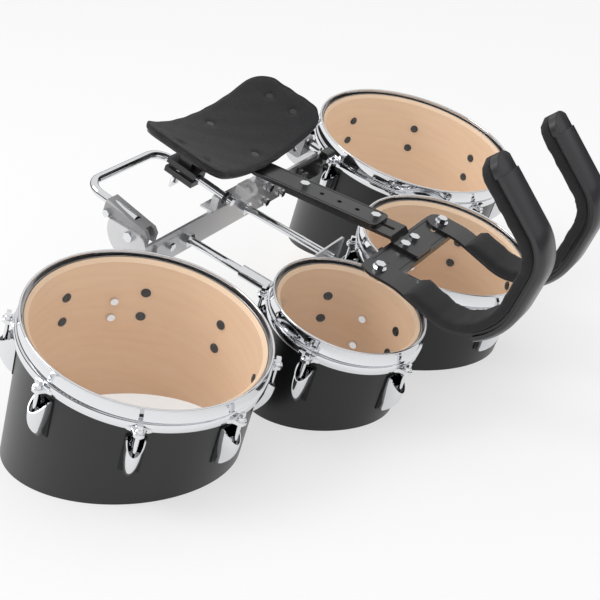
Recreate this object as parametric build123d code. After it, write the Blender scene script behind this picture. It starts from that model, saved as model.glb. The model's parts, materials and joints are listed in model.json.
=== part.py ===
from build123d import *
import math
import os

# Marching tenor drums: four tunable drums on one rack, with the shoulder carrier folded over them.
# Millimetres. Every piece is first built in the drums' own level frame: X along the rack, -Y to the
# audience, +Y to the player, Z = 0 at the rims. SEAT then stands the set on its cut shell bottoms.

INCH = 25.4

# Stand: the set leans on the bottoms of three shells
LEAN_TO_AUDIENCE = 19.2
LEAN_SIDEWAYS = -3.84
RIM_HEIGHT = 221.4
HIGH_SHELL_LIFT = 60.0
CENTER_X = -4.9
CENTER_Y = 82.79

# Drums: name, centre, diameter, number of lugs, angle of one lug, height of the cut over the floor
DRUMS = (
    ("12_inch", (-396.0, -17.0), 12 * INCH, 8, 36.0, 0.0),
    ("8_inch", (-138.0, -162.0), 8 * INCH, 5, 41.0, 0.0),
    ("10_inch", (131.0, -179.0), 10 * INCH, 6, 8.5, 0.0),
    ("13_inch", (396.0, 17.0), 13 * INCH, 8, 23.0, HIGH_SHELL_LIFT),
)
SHELL_WALL = 6.5
EDGE_DROP = 7.5
FILM = 0.3
FILM_TOP = -EDGE_DROP + 0.1 + FILM
HOOP_HEIGHT = 33.0
HOOP_STEP = 19.5
UNDER_HOOP = -34.6
UNDER_EAR = -33.5
ROD_OUT = 16.0
ROD_RADIUS = 2.8
LUG_TOP = -48.0
LUG_BOTTOM = -110.0
LUG_HALF_WIDTH = 12.0
GASKET_LEVELS = (-104.0, -49.0)
SCREW_LEVELS = (-58.5, -98.5)
NECK = 5.0
SMALL_SIDES = 10
ROUND_SIDES = 16

# Bolts that hold each drum to its bracket: angle round the shell and level below the rim
MOUNT_BOLTS = {
    "12_inch": ((52.0, -76.0), (52.0, -103.0)),
    "8_inch": ((5.0, -77.0), (5.0, -125.0), (94.0, -54.0)),
    "10_inch": ((36.4, -106.0), (36.4, -128.0), (178.0, -60.0)),
    "13_inch": ((146.0, -48.0), (146.0, -72.0), (-143.6, -106.0), (-143.6, -128.0)),
}

# Rack
WEB_FRONT = 95.0
WEB_THICK = 4.0
WEB_TOP = -7.0
WEB_BOTTOM = -54.0
EAR_LEFT = -262.0
EAR_RIGHT = 191.0
EAR_DEPTH = 66.0
SUPPORT_LEVEL = -32.0
SUPPORT_RADIUS = 6.0
SUPPORT_X = (-159.0, -14.0)
SPREADER_Y = -57.0
EAR_RADIUS = 39.0

# Bolts through the web: X and Z of each
RAIL_BOLTS = ((-209.0, -22.0), (50.0, -20.0), (50.0, -46.0), (96.0, -46.0), (150.0, -30.0))

# Carrier
MIDDLE_X = -25.0
TILT_Y = 123.0
TILT_Z = -3.0
PIN_RADIUS = 4.0
RUNNING_GAP = 0.05
ROD_Z = 14.0
U_RADIUS = 6.35
NEAR_LEGS = (-246.0, -84.0)
FAR_LEGS = (34.0, 172.0)
LEG_END = 80.0
CROSS_Y = 221.0
U_BEND = 26.0
CLAMP_SPAN = (144.0, 194.6)
SCREW_Y = 175.0

# The folded carrier rises a little to the player about its tilt axis
RISE_ANGLE = 5.5

# Belly plate: an arc in section, its centre line high over the middle
PAD_TOP_RADIUS = 310.0
PAD_THICK = 10.0
PLATE_THICK = 3.0
PLATE_HALF_WIDTH = 147.0
PLATE_REAR_Y = 81.0
PLATE_FRONT_Y = 213.0
PLATE_CORNER = 32.0
BUTTON_RADIUS = 5.5
RIVET_Y = (110.0, 178.0)
RIVET_RADIUS = 3.0

# Tufts in the belly pad: X from the middle, Y
TUFTS = ((0.0, 186.0), (0.0, 101.0), (-120.0, 158.0), (-120.0, 112.0), (120.0, 168.0), (120.0, 122.0))

# Spine
SPINE_SLOPE = 5.6
UPPER_BAR_BEND = 226.0
UPPER_BAR_END = 24.0
BEND_Y = -150.0
BEND_Z = 62.5
BAR_THICK = 5.0
BAR_WIDTH = 46.0
HOLE_PITCH = 29.6
BAR_BOLTS = (154.0, 154.0 - 4 * HOLE_PITCH)
WASHER_RADIUS = 7.4
TEE_TOP = 55.5
TEE_Y = -177.0
TEE_WIDTH = 48.0
TEE_HALF_LENGTH = 106.0
TEE_BOLT_X = (-14.0, 14.0)
TEE_BOLT_Y = -173.0
HOOK_X = 95.0
HOOK_TRAVEL = 25.0

# Shoulder hooks: corners of the beam's centre line in Y and Z, and the radius of each bend
BEAM_THICK = 4.0
BEAM_LEVEL = TEE_TOP + 0.05 + BEAM_THICK / 2
HOOK_CORNERS = (
    (-156.0, BEAM_LEVEL),
    (-213.0, BEAM_LEVEL),
    (-306.3, 34.4),
    (-364.1, 80.6),
    (-376.1, 197.7),
    (-266.0, 283.0),
)
HOOK_BENDS = (90.0, 66.0, 95.0, 60.0)
BEAM_WIDTH = 42.0
PAD_WIDTH = 58.0
COVER_WIDTH = 50.0
DOME_LENGTH = 27.0

SEAT = Location((CENTER_X, CENTER_Y, RIM_HEIGHT)) * Rot(0, LEAN_SIDEWAYS, 0) * Rot(LEAN_TO_AUDIENCE, 0, 0)

TILT_AXIS = Pos(0, TILT_Y, TILT_Z)
RISE = TILT_AXIS * Rot(RISE_ANGLE, 0, 0) * TILT_AXIS.inverse()

PARTS = {}


def keep(name, shape):
    """Takes a finished piece, or a list of alike pieces, into the set under its name."""
    solids = shape if isinstance(shape, list) else [shape]
    PARTS[name] = Compound(children=[s for one in solids for s in one.solids()]) if len(solids) > 1 else shape


def span(x0, x1, y0, y1, z0, z1):
    """A block from its six faces."""
    return Pos((x0 + x1) / 2, (y0 + y1) / 2, (z0 + z1) / 2) * Box(abs(x1 - x0), abs(y1 - y0), abs(z1 - z0))


def post(x, y, z0, z1, radius):
    """An upright round bar."""
    return Pos(x, y, (z0 + z1) / 2) * Cylinder(radius, abs(z1 - z0))


def sided_post(x, y, z0, z1, radius, sides):
    """An upright bar with flat sides, whose flats lie at the radius."""
    section = RegularPolygon(radius, sides, major_radius=False)
    return Pos(x, y, min(z0, z1)) * extrude(section, abs(z1 - z0))


def bar_x(y, z, x0, x1, radius):
    """A round bar along X."""
    return Pos((x0 + x1) / 2, y, z) * Rot(0, 90, 0) * Cylinder(radius, abs(x1 - x0))


def bar_y(x, z, y0, y1, radius):
    """A round bar along Y."""
    return Pos(x, (y0 + y1) / 2, z) * Rot(90, 0, 0) * Cylinder(radius, abs(y1 - y0))


def side_plate(face, x0, x1):
    """Extrudes an outline drawn in Y and Z from x0 to x1."""
    return Pos(x0, 0, 0) * extrude(Plane.YZ * face, x1 - x0, dir=(1, 0, 0))


def around(center, radius, angle, shape):
    """Puts a shape that is drawn at the origin, looking out along X, on a drum's wall."""
    x = center[0] + radius * math.cos(math.radians(angle))
    y = center[1] + radius * math.sin(math.radians(angle))
    return Pos(x, y, 0) * Rot(0, 0, angle) * shape


def wall_pad(center, radius, angle, half_angle, thick, z0, z1):
    """A plate that hugs a drum's wall over an angle either side of its middle."""
    reach = radius + 60
    wedge = Polygon(
        (0, 0),
        (reach, -reach * math.tan(math.radians(half_angle))),
        (reach, reach * math.tan(math.radians(half_angle))),
        align=None,
    )
    ring = Circle(radius + thick) - Circle(radius)
    return Pos(center[0], center[1], z0) * Rot(0, 0, angle) * extrude(ring & wedge, z1 - z0)


def lug_angles(count, first):
    return [first + 360.0 / count * i for i in range(count)]


def cut_bottom(solid, lift):
    """Cuts a shell parallel to the floor, at a height over it."""
    below = SEAT.inverse() * Pos(CENTER_X, CENTER_Y, lift - 400) * Box(3000, 3000, 800)
    return solid - below


def make_shell(center, radius, count, first, lift):
    """Maple shell with a bearing edge, square screw holes and a slanted bottom."""
    inner = radius - SHELL_WALL
    outline = Polygon(
        (radius, -330),
        (radius, -EDGE_DROP - 1.5),
        (radius - 1.5, -EDGE_DROP),
        (inner, -EDGE_DROP - 5),
        (inner, -330),
        align=None,
    )
    shell = Pos(*center, 0) * revolve(Plane.XZ * outline, Axis.Z)
    shell = cut_bottom(shell, lift)
    for angle in lug_angles(count, first):
        for level in SCREW_LEVELS:
            shell -= around(center, radius - SHELL_WALL / 2, angle, Pos(0, 0, level) * Box(20, NECK, NECK))
    return shell


def make_head(center, radius):
    """Clear film that lies on the bearing edge."""
    return Pos(*center, FILM_TOP - FILM / 2) * Cylinder(radius + 1.0, FILM)


def make_head_ring(center, radius):
    """Collar that turns the film down over the shell, with the ring that the hoop presses down."""
    outline = Polygon(
        (radius + 0.6, FILM_TOP - FILM - 0.02),
        (radius + 1.2, FILM_TOP - FILM - 0.02),
        (radius + 1.2, -HOOP_STEP - 1.5),
        (radius + 6.4, -HOOP_STEP - 1.5),
        (radius + 6.4, -HOOP_STEP - 8.5),
        (radius + 0.6, -HOOP_STEP - 8.5),
        align=None,
    )
    return Pos(*center, 0) * revolve(Plane.XZ * outline, Axis.Z)


def make_hoop(center, radius, count, first):
    """Tall chromed hoop: rolled rim, upright wall, stepped skirt and an ear at each rod."""
    outline = Polygon(
        (radius + 3.8, 0),
        (radius + 6.0, 0),
        (radius + 6.0, -2.6),
        (radius + 5.4, -2.6),
        (radius + 5.4, -HOOP_STEP),
        (radius + 9.0, -HOOP_STEP - 1.5),
        (radius + 9.0, -HOOP_HEIGHT),
        (radius + 7.2, -HOOP_HEIGHT),
        (radius + 7.2, -HOOP_STEP - 1.4),
        (radius + 3.8, -HOOP_STEP - 1.4),
        align=None,
    )
    hoop = Pos(*center, 0) * revolve(Plane.XZ * outline, Axis.Z)
    ear = extrude(Polygon((7.6, -9), (13, -8), (ROD_OUT + 4, -7), (ROD_OUT + 7, -4), (ROD_OUT + 7, 4),
                          (ROD_OUT + 4, 7), (13, 8), (7.6, 9), align=None), 5)
    ear = Pos(0, 0, -HOOP_HEIGHT + 0.5) * ear
    hole = sided_post(ROD_OUT, 0, -HOOP_HEIGHT - 2, -HOOP_HEIGHT + 8, ROD_RADIUS + 0.5, SMALL_SIDES)
    for angle in lug_angles(count, first):
        hoop += around(center, radius, angle, ear)
        hoop -= around(center, radius, angle, hole)
    return hoop


def make_lug():
    """Scoop-shaped lug: a slanted open mouth above, drawn to a point low on the shell."""
    half = LUG_HALF_WIDTH
    plan = Polygon(
        (1, -half), (10, -half), (18, -9), (23, -4.5), (23, 4.5), (18, 9), (10, half), (1, half), align=None
    )
    side = Polygon(
        (1, LUG_TOP), (6, LUG_TOP), (24, -63), (24, -74), (20, -88), (13, -101), (5, LUG_BOTTOM), (1, LUG_BOTTOM),
        align=None,
    )
    front = Polygon(
        (-half, LUG_TOP), (half, LUG_TOP), (half, -70), (10, -84), (6.5, -98), (2.5, LUG_BOTTOM),
        (-2.5, LUG_BOTTOM), (-6.5, -98), (-10, -84), (-half, -70), align=None,
    )
    body = Pos(0, 0, LUG_BOTTOM) * extrude(plan, LUG_TOP - LUG_BOTTOM)
    body &= extrude(Plane.XZ * side, 40, both=True)
    body &= Pos(-10, 0, 0) * extrude(Plane.YZ * front, 60, dir=(1, 0, 0))
    body -= sided_post(ROD_OUT - 2, 0, -74, LUG_TOP + 5, 6.0, 8)
    return body - sided_post(ROD_OUT, 0, -90, -60, ROD_RADIUS + RUNNING_GAP, SMALL_SIDES)


def make_gasket(radius):
    """Thin seat between a lug and the round wall."""
    half = LUG_HALF_WIDTH + 0.8
    step = math.degrees(math.asin(half / radius)) * 2 / 3
    reach = (radius + 0.02) / math.cos(math.radians(step / 2))
    back = []
    for i in range(4):
        angle = math.radians((i - 1.5) * step)
        back.append((reach * math.cos(angle) - radius, reach * math.sin(angle)))
    plan = Polygon((1, back[0][1]), (1, back[3][1]), back[3], back[2], back[1], back[0], align=None)
    low, high = GASKET_LEVELS
    slab = Pos(0, 0, low) * extrude(plan, high - low)
    for level in SCREW_LEVELS:
        slab -= Pos(0, 0, level) * Box(10, NECK, NECK)
    return slab


def make_tension_rod():
    """Rod with a flange and the square end that a drum key turns."""
    top = -HOOP_HEIGHT + 5.5
    shank = sided_post(ROD_OUT, 0, -84, top + 0.1, ROD_RADIUS, SMALL_SIDES)
    flange = sided_post(ROD_OUT, 0, top + 0.1, top + 2.3, 5.6, SMALL_SIDES)
    square = span(ROD_OUT - 2.9, ROD_OUT + 2.9, -2.9, 2.9, top + 2.3, top + 10)
    return shank + flange + square


def make_lug_screw(level):
    """Screw inside the shell: a six-sided head and the square neck that goes through the wall."""
    head = Rot(0, 90, 0) * extrude(RegularPolygon(6.8, 6), 3.2)
    head = Pos(-SHELL_WALL - 3.9, 0, level) * head
    inset = NECK / 2 - 0.1
    return head + span(-SHELL_WALL - 1, 1, -inset, inset, level - inset, level + inset)


def make_drums():
    lugs, gaskets, rods, screws, rings = [], [], [], [], []
    for name, center, diameter, count, first, lift in DRUMS:
        radius = diameter / 2
        shell = make_shell(center, radius, count, first, lift)
        for angle, level in MOUNT_BOLTS[name]:
            shell -= around(center, radius - SHELL_WALL / 2, angle, Pos(0, 0, level) * Box(20, NECK, NECK))
        keep(f"shell_{name}", shell)
        keep(f"head_{name}", make_head(center, radius))
        keep(f"hoop_{name}", make_hoop(center, radius, count, first))
        rings.append(make_head_ring(center, radius))
        gasket = make_gasket(radius)
        for angle in lug_angles(count, first):
            lugs.append(around(center, radius, angle, make_lug()))
            gaskets.append(around(center, radius, angle, gasket))
            rods.append(around(center, radius, angle, make_tension_rod()))
            screws += [around(center, radius, angle, make_lug_screw(level)) for level in SCREW_LEVELS]
    keep("head_rings", rings)
    keep("lugs", lugs)
    keep("lug_gaskets", gaskets)
    keep("tension_rods", rods)
    keep("lug_screws", screws)


def make_mount_bolts():
    """Round chromed heads inside the shells, each with its neck out to the bracket."""
    bolts = []
    for name, center, diameter, *_ in DRUMS:
        for angle, level in MOUNT_BOLTS[name]:
            head = Rot(0, 90, 0) * extrude(RegularPolygon(5.6, SMALL_SIDES), 4)
            head = Pos(-SHELL_WALL - 4.6, 0, level) * head
            inset = NECK / 2 - 0.1
            neck = span(-SHELL_WALL - 1, 0.3, -inset, inset, level - inset, level + inset)
            bolts.append(around(center, diameter / 2, angle, head + neck))
    return bolts


def ear_outline():
    """Side outline of a rail's bent end: a quarter round about the tilt axis, so that the arm clears it."""
    disc = Pos(TILT_Y, TILT_Z) * Circle(EAR_RADIUS)
    disc &= Polygon((TILT_Y - 16, -60), (200, -60), (200, 5), (TILT_Y - 16, 5), align=None)
    root = Polygon(
        (WEB_FRONT, WEB_BOTTOM), (TILT_Y - 13, -40.6), (TILT_Y - 13, 5), (WEB_FRONT + 6, 2), (WEB_FRONT, WEB_TOP),
        align=None,
    )
    return disc + root


def make_rail():
    """Bent plate: a long upright web whose two ends turn to the player and carry the tilt pins."""
    rail = span(EAR_LEFT, EAR_RIGHT, WEB_FRONT, WEB_FRONT + WEB_THICK, WEB_BOTTOM, WEB_TOP)
    ear = side_plate(ear_outline(), 0, WEB_THICK)
    rail += Pos(EAR_LEFT, 0, 0) * ear
    rail += Pos(EAR_RIGHT - WEB_THICK, 0, 0) * ear
    rail -= bar_x(TILT_Y, TILT_Z, EAR_LEFT - 5, EAR_LEFT + 9, PIN_RADIUS + RUNNING_GAP)
    rail -= bar_x(TILT_Y, TILT_Z, EAR_RIGHT - 9, EAR_RIGHT + 5, PIN_RADIUS + RUNNING_GAP)
    for x in SUPPORT_X:
        rail -= bar_y(x, SUPPORT_LEVEL, WEB_FRONT - 5, WEB_FRONT + 9, SUPPORT_RADIUS + 0.1)
    for x, z in RAIL_BOLTS:
        rail -= bar_y(x, z, WEB_FRONT - 5, WEB_FRONT + 9, 3.1)
    return rail


def make_rail_bolts():
    bolts = []
    for x, z in RAIL_BOLTS:
        front = -6.4 if x < -100 or x > 140 else -1.6
        head = Pos(x, WEB_FRONT + front, z) * Rot(90, 0, 0) * extrude(RegularPolygon(6.5, 6), 4.5)
        bolts.append(head + bar_y(x, z, WEB_FRONT + front - 1, WEB_FRONT + 12, 3.0))
    return bolts


def make_hinge_base():
    """Angle plate on the web: its leaf on top carries the rests, its other leaf lies behind."""
    top = span(-110, 62, WEB_FRONT - 4, WEB_FRONT + 20, WEB_TOP + 0.1, WEB_TOP + 3)
    back = span(-110, 62, WEB_FRONT + WEB_THICK + 0.1, WEB_FRONT + WEB_THICK + 3, WEB_TOP - 43, WEB_TOP + 3)
    base = top + back
    for x, z in RAIL_BOLTS[1:3]:
        base -= bar_y(x, z, WEB_FRONT, WEB_FRONT + 12, 3.1)
    base -= bar_y(SUPPORT_X[1], SUPPORT_LEVEL, WEB_FRONT, WEB_FRONT + 12, 14)
    return base


def make_center_block():
    """Stop block in the middle of the rail, with a sloped back and a guide groove for its pin."""
    outline = Polygon((81, -3.9), (103, -3.9), (103, 12), (88, 12), (81, 4), align=None)
    block = side_plate(outline, MIDDLE_X - 14, MIDDLE_X + 14)
    return block - span(MIDDLE_X - 5, MIDDLE_X + 5, 70, 97, 5, 20)


def make_leg_rests():
    """Saddles under the ends of the rods that lie on the rail."""
    rests = []
    for x in (NEAR_LEGS[1], FAR_LEGS[0]):
        block = span(x - 8, x + 8, WEB_FRONT + 2, WEB_FRONT + 14, WEB_TOP + 3.1, ROD_Z - 6)
        rests.append(block - RISE * bar_y(x, ROD_Z, 70, 130, U_RADIUS + 0.3))
    return rests


def make_support_rods():
    """Rods from the rail to the two middle drums."""
    near = bar_y(SUPPORT_X[0], SUPPORT_LEVEL, -8, WEB_FRONT + 16, SUPPORT_RADIUS)
    far = bar_y(SUPPORT_X[1], SUPPORT_LEVEL, SPREADER_Y - 12, WEB_FRONT + 16, SUPPORT_RADIUS)
    return [near, far]


def make_support_nuts():
    nuts = []
    for x in SUPPORT_X:
        for y in (WEB_FRONT - 7.1, WEB_FRONT + WEB_THICK + 0.1):
            nut = Pos(x, y, SUPPORT_LEVEL) * Rot(-90, 0, 0) * extrude(RegularPolygon(11, 6), 7)
            nuts.append(nut - bar_y(x, SUPPORT_LEVEL, y - 5, y + 15, SUPPORT_RADIUS + 0.1))
    return nuts


def make_socket():
    """Thick sleeve on the 8 inch shell that takes the near support rod."""
    center, diameter = DRUMS[1][1:3]
    sleeve = bar_y(SUPPORT_X[0], SUPPORT_LEVEL, -50, -2, 9.5)
    foot = wall_pad(center, diameter / 2 + 0.4, 94, 9, 4, -70, UNDER_HOOP)
    neck = span(SUPPORT_X[0] - 4, SUPPORT_X[0] + 8, -70, -42, -47.5, UNDER_HOOP)
    socket = sleeve + foot + neck - Pos(*center, -60) * Cylinder(diameter / 2 + 0.4, 200)
    return socket - bar_y(SUPPORT_X[0], SUPPORT_LEVEL, -8.1, 10, SUPPORT_RADIUS + 0.1)


def make_spreader():
    """Channel between the 8 and 10 inch drums that takes the far support rod."""
    plate = Pos(0, SPREADER_Y, 0) * extrude(
        Plane.XZ * fillet(Polygon((-62, -74), (26, -74), (26, -14), (-62, -14), align=None).vertices(), 7), 3
    )
    legs = span(-33.8, -30.8, -172, SPREADER_Y - 1, -137, -40)
    legs += span(-0.4, 2.6, -186, SPREADER_Y - 1, -74, -40)
    tie = span(-33.8, 2.6, -100, SPREADER_Y - 1, -43, -40)
    bracket = plate + legs + tie
    hole = SUPPORT_RADIUS + 0.1
    return bracket - bar_y(SUPPORT_X[1], SUPPORT_LEVEL, SPREADER_Y - 20, SPREADER_Y + 20, hole)


def clear_of_drum(center, radius):
    """Room for a shell and for the hoop above it."""
    return Pos(*center, -160) * Cylinder(radius + 0.4, 260) + Pos(*center, -4) * Cylinder(radius + 10.5, 61)


def make_near_bracket():
    """Strap from the web to the 12 inch shell."""
    center, radius = DRUMS[0][1], DRUMS[0][2] / 2
    hug = wall_pad(center, radius + 0.4, 53, 10, 4, -118, UNDER_HOOP)
    strap = span(-292, -192, WEB_FRONT - 4.1, WEB_FRONT - 0.1, -50, UNDER_EAR)
    strap += span(-238, -192, WEB_FRONT - 4.1, WEB_FRONT - 0.1, UNDER_EAR, -12)
    strap -= clear_of_drum(center, radius)
    strap -= bar_y(RAIL_BOLTS[0][0], RAIL_BOLTS[0][1], 80, 105, 3.1)
    return strap + hug


def make_far_bracket():
    """Black strap and knuckle from the web to the 13 inch shell."""
    center, radius = DRUMS[3][1], DRUMS[3][2] / 2
    hug = wall_pad(center, radius + 0.4, 146, 6.5, 4, -84, UNDER_HOOP)
    strap = span(130, 250, WEB_FRONT - 4.1, WEB_FRONT - 0.1, -50, UNDER_EAR)
    strap += span(130, 210, WEB_FRONT - 4.1, WEB_FRONT - 0.1, UNDER_EAR, -12)
    knuckle = bar_x(WEB_FRONT - 10, -9, 198, 222, 6)
    knuckle += span(198, 222, WEB_FRONT - 10, WEB_FRONT - 0.1, -15, -3)
    strap -= clear_of_drum(center, radius)
    strap -= bar_y(RAIL_BOLTS[4][0], RAIL_BOLTS[4][1], 80, 105, 3.1)
    return strap + knuckle + hug


def make_pair_bracket():
    """Link between the 10 and 13 inch drums: two hugging pads on one web."""
    near, far = DRUMS[2], DRUMS[3]
    angle = math.degrees(math.atan2(far[1][1] - near[1][1], far[1][0] - near[1][0]))
    pads = wall_pad(near[1], near[2] / 2 + 0.4, angle, 9, 4, -138, -96)
    pads += wall_pad(far[1], far[2] / 2 + 0.4, angle + 180, 7, 4, -138, -96)
    link = around(near[1], near[2] / 2 + 18.6, angle, Pos(0, 0, -117) * Box(34, 9, 42))
    for drum in (near, far):
        link -= Pos(*drum[1], -117) * Cylinder(drum[2] / 2 + 0.4, 100)
    return pads + link


def make_u_rod(first, second, cross_y, first_end, second_end):
    """Chromed rod bent to a U: two legs to the rail and a cross piece at the player's side."""
    path = FilletPolyline(
        (first, first_end, ROD_Z),
        (first, cross_y, ROD_Z),
        (second, cross_y, ROD_Z),
        (second, second_end, ROD_Z),
        radius=U_BEND,
    )
    start = Plane(origin=path @ 0, z_dir=path % 0)
    return sweep(start * Circle(U_RADIUS), path=path)


def make_tilt_arm():
    """Cast arm that clamps the near rod and turns on the rail's near end."""
    outline = Polygon(
        (99, -6), (99, 8), (106, 15), (177, 21), (177, 3), (146, -10), (130, -15), (114, -15), (107, -6), align=None
    )
    arm = side_plate(outline, EAR_LEFT + WEB_THICK + 0.3, EAR_LEFT + WEB_THICK + 24.3)
    arm -= bar_y(NEAR_LEGS[0], ROD_Z, 128, 190, U_RADIUS + 0.02)
    arm -= bar_x(TILT_Y, TILT_Z, EAR_LEFT, EAR_LEFT + 40, PIN_RADIUS)
    bevel = Polygon((EAR_LEFT, 12), (EAR_LEFT + 14, 30), (EAR_LEFT, 30), align=None)
    arm -= Pos(0, 200, 0) * extrude(Plane.XZ * bevel, 130)
    return arm - span(EAR_LEFT + 11, EAR_LEFT + 22, 80, 110, -20, 40)


def make_tilt_lug():
    """Short lug that clamps the far rod and turns on the rail's far end."""
    outline = fillet(
        Polygon((111, -14), (150, -14), (150, 22), (111, 22), align=None).vertices(), 6
    )
    lug = side_plate(outline, EAR_RIGHT - WEB_THICK - 26.3, EAR_RIGHT - WEB_THICK - 0.3)
    lug -= bar_y(FAR_LEGS[1], ROD_Z, 80, 170, U_RADIUS + 0.02)
    return lug - bar_x(TILT_Y, TILT_Z, EAR_RIGHT - 40, EAR_RIGHT, PIN_RADIUS)


def make_tilt_bolts():
    """Bolts that the arm and lug turn on, and the arm's pinch bolt."""
    near = bar_x(TILT_Y, TILT_Z, EAR_LEFT - 0.1, EAR_LEFT + 22, PIN_RADIUS)
    near += Pos(EAR_LEFT - 0.1, TILT_Y, TILT_Z) * Rot(0, -90, 0) * extrude(RegularPolygon(7.5, 6), 6)
    far = bar_x(TILT_Y, TILT_Z, EAR_RIGHT - 26, EAR_RIGHT + 0.1, PIN_RADIUS)
    far += Pos(EAR_RIGHT + 0.1, TILT_Y, TILT_Z) * Rot(0, 90, 0) * extrude(RegularPolygon(7.5, 6), 6)
    pinch_x = EAR_LEFT + WEB_THICK + 0.3
    pinch = Pos(pinch_x, 169, 4) * Rot(0, -90, 0) * extrude(RegularPolygon(6, 6), 5)
    return [near, far, pinch]


def make_collars():
    """Black rings on the ends of the rods."""
    rings = []
    for x, y in ((NEAR_LEGS[1], 89.0), (FAR_LEGS[0], 89.0), (FAR_LEGS[1], 104.0)):
        ring = bar_y(x, ROD_Z, y, y + 5, 9.5) - bar_y(x, ROD_Z, y - 1, y + 6, U_RADIUS + 0.02)
        rings.append(ring)
    return rings


def slope_frame():
    """Frame at the bend of the spine: X across, Y down the slope to the player, Z out of the bar."""
    return Pos(MIDDLE_X, BEND_Y, BEND_Z) * Rot(-SPINE_SLOPE, 0, 0)


def level_bar_center():
    """Y and Z of the upper bar's turn under the belly plate, before the carrier rises."""
    joint = RISE.inverse() * slope_frame() * Pos(0, UPPER_BAR_BEND, BAR_THICK * 1.5 + RUNNING_GAP)
    return joint.position.Y, joint.position.Z


def plate_arc():
    """Level of the axis that the belly plate curves about, and the radius of its underside."""
    radius = PAD_TOP_RADIUS + PAD_THICK + 0.3 + PLATE_THICK
    return level_bar_center()[1] + BAR_THICK / 2 + radius, radius


def arc_layer(inner, outer, margin):
    """A layer of the belly plate between two radii, its corners rounded in plan."""
    center_z = plate_arc()[0]
    y0 = PLATE_REAR_Y - margin
    y1 = PLATE_FRONT_Y + margin
    half = PLATE_HALF_WIDTH + margin
    ring = Pos(MIDDLE_X, (y0 + y1) / 2, center_z) * Rot(90, 0, 0) * (
        Cylinder(outer, y1 - y0) - Cylinder(inner, y1 - y0 + 2)
    )
    plan = fillet(Rectangle(2 * half, y1 - y0).vertices(), PLATE_CORNER)
    column = Pos(MIDDLE_X, (y0 + y1) / 2, 0) * extrude(plan, 160)
    return ring & column


def tuft_frame(x, y):
    """Frame on the pad's surface at a tuft, its Z axis square to the surface."""
    tilt = -math.degrees(math.asin(x / PAD_TOP_RADIUS))
    return Pos(MIDDLE_X, y, plate_arc()[0]) * Rot(0, tilt, 0) * Pos(0, 0, -PAD_TOP_RADIUS)


def make_belly():
    plate_in = PAD_TOP_RADIUS + PAD_THICK + 0.3
    plate = arc_layer(plate_in, plate_in + PLATE_THICK, 0)
    for y in RIVET_Y:
        plate -= sided_post(MIDDLE_X, y, 0, 100, RIVET_RADIUS + 0.02, SMALL_SIDES)
    pad = arc_layer(PAD_TOP_RADIUS, PAD_TOP_RADIUS + PAD_THICK, 2)
    buttons = []
    for x, y in TUFTS:
        frame = tuft_frame(x, y)
        pad -= frame * Pos(0, 0, -1.4) * Cone(BUTTON_RADIUS + 0.6, BUTTON_RADIUS + 7, 5)
        buttons.append(frame * sided_post(0, 0, -3.6, -2.0, BUTTON_RADIUS, ROUND_SIDES))
    keep("belly_plate", RISE * plate)
    keep("belly_pad", RISE * pad)
    keep("pad_buttons", [RISE * button for button in buttons])


def make_clamp(x, side):
    """Split block that grips a rod, with a stem up to the belly plate. Its split opens to the side."""
    y0, y1 = CLAMP_SPAN
    block = span(x - 15, x + 15, y0, y1, ROD_Z - 12, ROD_Z + 12)
    stem = span(x - 8, x + 8, y0 + 14, y1 - 14, ROD_Z + 11, 75)
    axis_z, under = plate_arc()
    stem -= Pos(MIDDLE_X, 168, axis_z) * Rot(90, 0, 0) * Cylinder(under, 80)
    block += stem
    block -= bar_y(x, ROD_Z, y0 - 1, y1 + 1, U_RADIUS + RUNNING_GAP)
    block -= span(x, x + side * 20, y0 - 1, y1 + 1, ROD_Z - 3, ROD_Z + 3)
    return block - post(x + side * 10.5, SCREW_Y, ROD_Z - 13, ROD_Z - 2.5, 3 + RUNNING_GAP)


def make_clamp_screw(x, side):
    """Wing screw that closes the split from below."""
    cx = x + side * 10.5
    low = ROD_Z - 12.3
    screw = post(cx, SCREW_Y, low - 8, ROD_Z - 3, 3.0) + post(cx, SCREW_Y, low - 8, low, 5.5)
    return screw + span(cx - 10, cx + 10, SCREW_Y - 1.6, SCREW_Y + 1.6, low - 15, low - 4)


def make_upper_bar():
    """Outer spine bar: level under the belly plate, then rising, with a row of height holes."""
    y_end = UPPER_BAR_END
    y_bend = UPPER_BAR_BEND
    middle = Pos(0, (y_end + y_bend) / 2, BAR_THICK * 1.5 + RUNNING_GAP)
    bar = middle * Box(BAR_WIDTH, y_bend - y_end, BAR_THICK)
    ends = [e for e in bar.edges().filter_by(Axis.Z) if e.center().Y < y_end + 1]
    bar = fillet(ends, 9)
    for lane in (-1, 1):
        rib = Pos(lane * (BAR_WIDTH / 2 - 4), (y_end + y_bend) / 2, BAR_THICK * 2 + RUNNING_GAP)
        bar -= rib * Box(1.6, y_bend - y_end - 16, 1.2)
    for i in range(5):
        bar -= Pos(0, BAR_BOLTS[0] - i * HOLE_PITCH, 0) * Cylinder(3.6, 40)
    bar = slope_frame() * bar
    y_level, z_level = level_bar_center()
    level = span(
        MIDDLE_X - BAR_WIDTH / 2,
        MIDDLE_X + BAR_WIDTH / 2,
        y_level - 1,
        196,
        z_level - BAR_THICK / 2,
        z_level + BAR_THICK / 2,
    )
    for y in RIVET_Y:
        level -= sided_post(MIDDLE_X, y, 0, 100, RIVET_RADIUS + 0.02, SMALL_SIDES)
    return bar + RISE * level


def make_belly_rivets():
    """Rivets that hold the belly plate on the level end of the spine."""
    bottom = level_bar_center()[1] - BAR_THICK / 2
    rivets = []
    for y in RIVET_Y:
        rivet = sided_post(MIDDLE_X, y, bottom - 3, bottom, 6, SMALL_SIDES)
        rivet += sided_post(MIDDLE_X, y, bottom - 1, bottom + BAR_THICK + PLATE_THICK, RIVET_RADIUS, SMALL_SIDES)
        rivets.append(RISE * rivet)
    return rivets


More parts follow.
